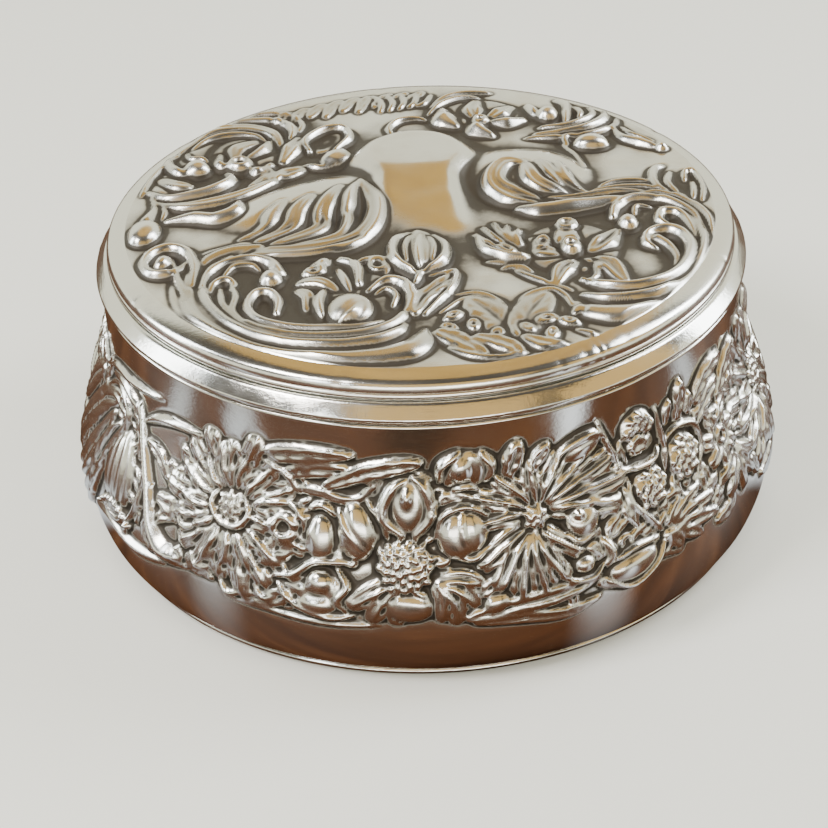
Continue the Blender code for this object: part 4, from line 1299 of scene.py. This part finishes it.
knocks = sum(
    depth * np.exp(-(((np.degrees(edge_way) - at) / wide) ** 2))
    for at, wide, depth in (
        (-66.8, 0.7, 0.07), (-61.8, 0.9, 0.10), (-59.3, 0.6, 0.17), (-57.9, 0.5, 0.09),
        (-53.4, 1.4, 0.12), (-104, 1.4, 0.09), (-151, 1.2, 0.12), (-20, 0.8, 0.12),
        (34, 1.3, 0.14), (97, 0.9, 0.12), (142, 1.5, 0.10),
    )
)
for radius, height, patina_and_shade in shoulder + under + [(r, PLATE_TOP - SHEET, 0.2) for r in (40, 20, 4)]:
    struck = knocks * np.clip((radius - PLATE) / (LID_RADIUS - PLATE), 0, 1)
    out = radius - 0.6 * struck
    ring = np.column_stack([out * np.cos(edge_way), out * np.sin(edge_way), height - 0.8 * struck])
    fresh = total + np.arange(len(ring))
    crown_quads.append(np.stack([last, fresh, np.roll(fresh, -1), np.roll(last, -1)], 1))
    crown_points.append(ring)
    for runs, number in zip(crown_marks.values(), (patina_and_shade, 0.35, 0.0)):
        runs.append(np.full(len(ring), number))
    last, total = fresh, total + len(ring)
crown = mesh_piece(
    "chased_lid_crown", np.vstack(crown_points), np.vstack(crown_quads),
    {key: np.concatenate(runs) for key, runs in crown_marks.items()},
    SILVER, "lid",
)
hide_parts("lid_crown")
print("lid crown", len(crown.data.polygons), "faces")

# %% The lid's lip and its flange
lip = turned("lid_lip", rounded([(LIP_RADIUS - 1.1, LIP_LOW), (LIP_RADIUS - 0.1, LIP_LOW),
                                 (LIP_RADIUS, LIP_LOW + 0.4), (LIP_RADIUS - 0.2, LIP_TOP + 0.25),
                                 (LIP_RADIUS - 1.1, LIP_TOP + 0.2)]),
             "lid", hollow=0.05)
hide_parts("lid_lip_wire")
flange = turned("lid_flange_band", rounded([(FLANGE_RADIUS - SHEET, FLANGE_LOW),
                                            (FLANGE_RADIUS, FLANGE_LOW),
                                            (FLANGE_RADIUS, FLANGE_TOP),
                                            (FLANGE_RADIUS - SHEET, FLANGE_TOP)]),
                "lid", columns=240, hollow=0.15)
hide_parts("lid_flange")

# %% [markdown]
# ## The body
#
# The wall swells out from its foot to a low belly and draws in again to an upright neck.  Its
# section is worked out from four places of the model: the foot, the belly, the start of the neck
# and the top.  The chased band needs rows a third of a millimetre apart, and the plain metal
# above and below it needs only enough rows to curve smoothly.  Old silver is never quite true,
# so the wall also carries shallow waves, which bend its reflections.

# %% The wall's curve
BELLY = WALL_RADII.max()
BELLY_AT = WALL_HEIGHTS[WALL_RADII.argmax()]
WALL_LOW, WALL_TOP = WALL_HEIGHTS[0], WALL_HEIGHTS[-1]
NECK_AT = WALL_HEIGHTS[np.abs(WALL_RADII - NECK_RADIUS) < 0.02][0]
FOOT_OF_WALL = WALL_RADII[0]


def wall_radius(height):
    """Outer radius of the plain wall at a height: an arc, a long soft wave and a straight neck."""
    drop = np.clip((BELLY_AT - height) / (BELLY_AT - WALL_LOW), 0, 1)
    climb = np.clip((height - BELLY_AT) / (NECK_AT - BELLY_AT), 0, 1)
    below = FOOT_OF_WALL + (BELLY - FOOT_OF_WALL) * np.sqrt(1 - drop**2)
    above = NECK_RADIUS + (BELLY - NECK_RADIUS) * 0.5 * (1 + np.cos(np.pi * climb))
    return np.where(height < BELLY_AT, below, above)


drops = BELLY_AT - (BELLY_AT - WALL_LOW) * np.cos(np.linspace(0, 0.5 * np.pi, 16))
BAND_LOW, BAND_TOP, BAND_STEP = 9.5, 47.0, 0.36
levels = np.concatenate([
    drops[drops < BAND_LOW - 0.3],
    np.arange(BAND_LOW, BAND_TOP, BAND_STEP),
    np.linspace(BAND_TOP + 0.4, WALL_TOP, 9),
])
print("wall has", len(levels), "rows from", WALL_LOW, "to", WALL_TOP, "mm")

# %% Lift the wall by its relief
WALL_COLUMNS = 1080
way = np.linspace(0, 2 * np.pi, WALL_COLUMNS, endpoint=False)
around = (np.degrees(way) + 180) % 360 - 180
body_heights = blurred(body.heights, 0.7)
# The wall's soot numbers hold real patina in the crevices and painted shade about 2 mm round the relief.
body_patina_and_shade, body_rubbed, body_chased = patina_shade_and_wear(body_heights, body.grain, body.soot, body.heights)
across, up = np.meshgrid(around * DEGREE, levels)
waves = sum(
    high * np.sin(count * np.radians(across / DEGREE) + slant * up + start)
    for high, count, slant, start in ((0.05, 5, 0.15, 0), (0.035, 11, -0.22, 1), (0.02, 23, 0.5, 0))
)
lift = body.at(body_heights, across, up) + waves
slope = (wall_radius(up + 0.05) - wall_radius(up - 0.05)) / 0.1
slope = np.clip(slope, -1.0, 1.2)
length = np.sqrt(1 + slope**2)
outer_radii, outer_heights = wall_radius(up) + lift / length, up - lift * slope / length
outer_heights[0] = WALL_LOW
inner_levels = np.linspace(WALL_TOP, WALL_LOW, 14)[:, None] + np.zeros(WALL_COLUMNS)
inner_radii = wall_radius(inner_levels) - SHEET
wall_radii = np.vstack([outer_radii, outer_radii[-1:] - 0.35 * SHEET, inner_radii])
wall_rows = np.vstack([outer_heights, WALL_TOP + np.zeros((1, WALL_COLUMNS)), inner_levels])
plain_rows = (len(wall_rows) - len(levels), WALL_COLUMNS)
wall_marks = {
    key: np.vstack([body.at(field, across, up), np.full(plain_rows, plain)])
    for key, field, plain in (("hollow", body_patina_and_shade, 0.25), ("rubbed", body_rubbed, 0.25),
                              ("chased", body_chased, 0.0))
}
wall = mesh_piece(
    "chased_wall", swept(wall_radii, wall_rows, WALL_COLUMNS).reshape(-1, 3),
    ring_quads(len(wall_rows), WALL_COLUMNS), wall_marks, WALL_SILVER, "box",
)
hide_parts("body_wall")
print("wall", len(wall.data.polygons), "faces")

# %% [markdown]
# The mouth is stiffened by a separate flared rim, soldered on, and the box stands on a wire.
# Their edges are the most rubbed metal on the box, worn thin, bright and a little uneven.

# %% The mouth rim and the foot wire
MOUTH = 59.3  # inner radius of the rim
collar = [(MOUTH, RIM_LOW), (NECK_RADIUS + 0.1, RIM_LOW), (NECK_RADIUS + 0.2, RIM_LOW + 0.5),
          (RIM_RADIUS, RIM_LOW + 0.8), (RIM_RADIUS, RIM_LOW + 1.4), (RIM_RADIUS - 1.9, RIM_TOP),
          (MOUTH, RIM_TOP)]
rim = turned("flared_rim", rounded(collar), "box", wobble=0.03,
             ragged=(RIM_LOW + 0.9, 0.5, 0.3), material=RIM_SILVER)
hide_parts("mouth_rim")
wire = [(FOOT_RADIUS - 1.2 + 1.2 * math.cos(t), FOOT_TOP / 2 + FOOT_TOP / 2 * math.sin(t))
        for t in np.linspace(0, 2 * np.pi, 14, endpoint=False)]
foot = turned("foot_ring", wire, "box", wobble=0.03, material=RIM_SILVER)
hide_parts("foot_wire")
base = turned("base_disc", rounded([(0.6, WALL_LOW), (FOOT_OF_WALL - 1.0, WALL_LOW),
                                    (FOOT_OF_WALL - 1.0, WALL_LOW + 0.9), (0.6, WALL_LOW + 0.9)]),
              "box", columns=240, hollow=0.12)
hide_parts("base_plate")

# %% [markdown]
# ## Pasteboard and satin
#
# Inside, the silver is only a shell.  Rings and discs of pasteboard line it, and satin is drawn
# over them: a gathered strip round the wall, and a thin stuffed pad on the floor and in the lid.
# The pasteboard parts keep their imported shapes and only get a finish.

# %% Pasteboard
board = Finish("pasteboard")
fibre = board.noise(0.9, detail=6, stretch=(1.0, 0.3, 1.0), rough=0.7)
fleck = board.noise(5, detail=4).above(0.5, 0.8)
board.give(Base_Color=board.blend(fleck * 0.5 + fibre * 0.3, (0.42, 0.33, 0.22), (0.27, 0.19, 0.12)),
           Roughness=0.85 + 0.1 * fibre, Specular_IOR_Level=0.2)
board.bump(fibre, 0.05)
for name in ("wall_card", "floor_card", "lid_card"):
    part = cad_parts[name]
    for place in part.material_slots:
        place.link, place.material = "OBJECT", board.material
    if not part.material_slots:
        print(name, "has no slot for a finish")

# %% [markdown]
# Satin floats most of its threads on the face, which gives it a soft sheen that slides along the
# folds and a very fine rib across them.  The weave is drawn straight across the piece's own space,
# the same for the strip and the pads, without any unwrapping.


# %% Satin
def satin(name, colour, shadow):
    """Soft silk satin with a fine floated rib, faint slubs and a pale sheen."""
    finish = Finish(name)
    rib = finish.noise(0.22, detail=2, stretch=(1.0, 0.15, 0.15))
    float_threads = finish.noise(0.30, detail=2, stretch=(0.12, 1.0, 1.0))
    slubs = finish.noise(2.4, detail=4, stretch=(0.2, 1.0, 1.0)).above(0.55, 0.8)
    fade = finish.noise(22, detail=3).above(0.35, 0.75)
    finish.give(
        Base_Color=finish.blend(0.45 * fade + 0.25 * slubs + 0.2 * rib, colour, shadow),
        Roughness=0.34 + 0.12 * float_threads + 0.08 * fade,
        Sheen_Weight=0.55, Sheen_Roughness=0.35, Sheen_Tint=(1.0, 0.86, 0.80),
        Specular_IOR_Level=0.55,
    )
    finish.bump(rib + 0.8 * float_threads + 1.2 * slubs, 0.035)
    return finish.material


ROSE = satin("old_rose_satin", (0.50, 0.20, 0.17), (0.36, 0.12, 0.11))
CUSHION = satin("cushion_satin", (0.56, 0.24, 0.20), (0.42, 0.15, 0.13))

# %% [markdown]
# The strip round the wall is about a tenth longer than the wall it covers, and the spare length is
# taken up in gathers.  They are tight where the strip is stitched at its top and bottom, and
# looser between, where neighbours merge.  Its cut length is measured along the finished gathers.

# %% The gathered strip round the wall
LINING_OUT, LINING_LOW, LINING_TOP = extent("wall_lining")
LINING_MIDDLE = LINING_OUT - 0.6
strip_way = np.linspace(0, 2 * np.pi, 1500, endpoint=False)
strip_up = np.linspace(0, 1, 44)
turn, climb = np.meshgrid(strip_way, strip_up)
drift = 0.5 * np.sin(7 * turn + 3 * climb) + 0.35 * np.sin(19 * turn - 5 * climb)
tight = np.abs(2 * climb - 1) ** 3
pleats = np.sin(150 * turn + drift) * (0.24 + 0.12 * tight)
pleats += np.sin(75 * turn + 1.6 * drift + 1) * 0.24 * (1 - tight)
strip_radii = LINING_MIDDLE + np.clip(pleats, -0.55, 0.55)
strip_heights = LINING_LOW + (LINING_TOP - LINING_LOW) * climb
strip_points = swept(strip_radii, strip_heights, len(strip_way))
lining = mesh_piece("gathered_strip", strip_points.reshape(-1, 3),
                    ring_quads(len(strip_up), len(strip_way), closed=False), {},
                    ROSE, "box")
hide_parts("wall_lining")

# %% The piping that hides the strip's raw edge
PIPING = 0.42
twist_rows = 10
loop = np.linspace(0, 2 * np.pi, twist_rows, endpoint=False)[:, None]
twist = PIPING * (1 + 0.10 * np.cos(3 * loop + 180 * strip_way[None, :]))
piping = mesh_piece(
    "strip_piping",
    swept(LINING_MIDDLE + twist * np.cos(loop), LINING_TOP - PIPING - 0.05 + twist * np.sin(loop),
          len(strip_way)).reshape(-1, 3),
    ring_quads(twist_rows, len(strip_way)), {}, CUSHION, "box",
)

# %% [markdown]
# ## The two pads
#
# Each pad is a disc of cotton wadding under satin, gathered over a card.  It starts here as a
# slightly smaller disc with pleats pressed into its edge.  A cloth simulation with a little
# pressure inside then swells it, so the pleats soften and the face crowns.  How far a point may
# move is capped, and the pad is kept inside the room that the box has for it.


# %% Swell a pad by simulation
def pad_start(radius, low, high, face_up):
    """A shallow pleated disc, closed, with its crowned side up or down."""
    thick = high - low
    outline = [(1.0, 0.62), (0.45 * radius, 0.60), (0.75 * radius, 0.52), (0.92 * radius, 0.36),
               (0.985 * radius, 0.18), (radius, 0.08), (0.985 * radius, 0.0), (0.6 * radius, 0.0),
               (1.0, 0.0)]
    count = 240
    angle = np.linspace(0, 2 * np.pi, count, endpoint=False)
    points = []
    for out, rise in outline:
        edge = (out / radius) ** 5
        ripple = 1 + 0.35 * edge * np.sin(48 * angle + 0.8 * np.sin(5 * angle))
        level = thick * rise * ripple
        height = low + level if face_up else high - level
        points.append(np.stack([out * np.cos(angle), out * np.sin(angle), height], 1))
    quads = ring_quads(len(outline), count, closed=False)
    middle = [(0, 0, low + 0.62 * thick), (0, 0, low)] if face_up else [
        (0, 0, high - 0.62 * thick), (0, 0, high)]
    points = np.vstack(points + [middle])
    hub, foot = len(points) - 2, (len(outline) - 1) * count
    sides = [(i, (i + 1) % count) for i in range(count)]
    caps = [(a, b, hub) for a, b in sides] + [(foot + b, foot + a, hub + 1) for a, b in sides]
    faces = quads.tolist() + caps
    if face_up:
        faces = [face[::-1] for face in faces]
    return points, faces


def settled(piece):
    """The piece's points after its modifiers, and the mesh that holds them."""
    graph = bpy.context.evaluated_depsgraph_get()
    mesh = bpy.data.meshes.new_from_object(piece.evaluated_get(graph), depsgraph=graph)
    flat = np.empty(len(mesh.vertices) * 3, np.float32)
    mesh.vertices.foreach_get("co", flat)
    return flat.reshape(-1, 3), mesh


VOXEL, SWELL_CAP, SWELL_STEPS, PRESSURE = 1.7, 1.6, 20, 4.0


def stuffed_pad(name, node, face_up):
    """A satin pad swollen by cloth simulation inside the room of its CAD part."""
    radius, low, high = extent(node)
    points, faces = pad_start(radius - 0.9, low, high, face_up)
    mesh = bpy.data.meshes.new(name)
    mesh.from_pydata((points * MM).tolist(), [], faces)
    piece = bpy.data.objects.new(name, mesh)
    scene = bpy.context.scene
    scene.collection.objects.link(piece)
    remesh = piece.modifiers.new("even", "REMESH")
    remesh.mode, remesh.voxel_size, remesh.use_smooth_shade = "VOXEL", VOXEL * MM, True
    start, even = settled(piece)
    piece.modifiers.clear()
    piece.data = even
    cloth = piece.modifiers.new("swell", "CLOTH")
    cloth.settings.use_pressure = True
    cloth.settings.uniform_pressure_force = PRESSURE
    cloth.settings.effector_weights.gravity = 0.0
    cloth.settings.mass = 0.15
    cloth.settings.quality = 5
    cloth.point_cache.frame_start, cloth.point_cache.frame_end = 1, SWELL_STEPS
    for step in range(1, SWELL_STEPS + 1):
        scene.frame_set(step)
    moved, spare = settled(piece)
    piece.modifiers.clear()
    scene.frame_set(1)
    shift = moved - start
    far = np.linalg.norm(shift, axis=1, keepdims=True)
    shift *= np.minimum(1.0, SWELL_CAP * MM / np.maximum(far, 1e-9))
    print(name, "moved up to", round(float(far.max()) / MM, 2), "mm")
    start = start + shift
    bpy.data.meshes.remove(spare)
    out = np.hypot(start[:, 0], start[:, 1])
    start[:, :2] *= (radius - 0.1) * MM / out.max()
    start[:, 2] = np.clip(start[:, 2], (low + 0.02) * MM, (high - 0.02) * MM)
    even.vertices.foreach_set("co", np.ascontiguousarray(start, np.float32).ravel())
    even.polygons.foreach_set("use_smooth", np.ones(len(even.polygons), bool))
    even.materials.clear()
    even.materials.append(CUSHION)
    even.update()
    finer = piece.modifiers.new("finer", "SUBSURF")
    finer.levels = finer.render_levels = 1
    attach(piece, "box" if face_up else "lid")
    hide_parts(node)


stuffed_pad("floor_cushion", "floor_pad", face_up=True)
stuffed_pad("lid_cushion", "lid_pad", face_up=False)
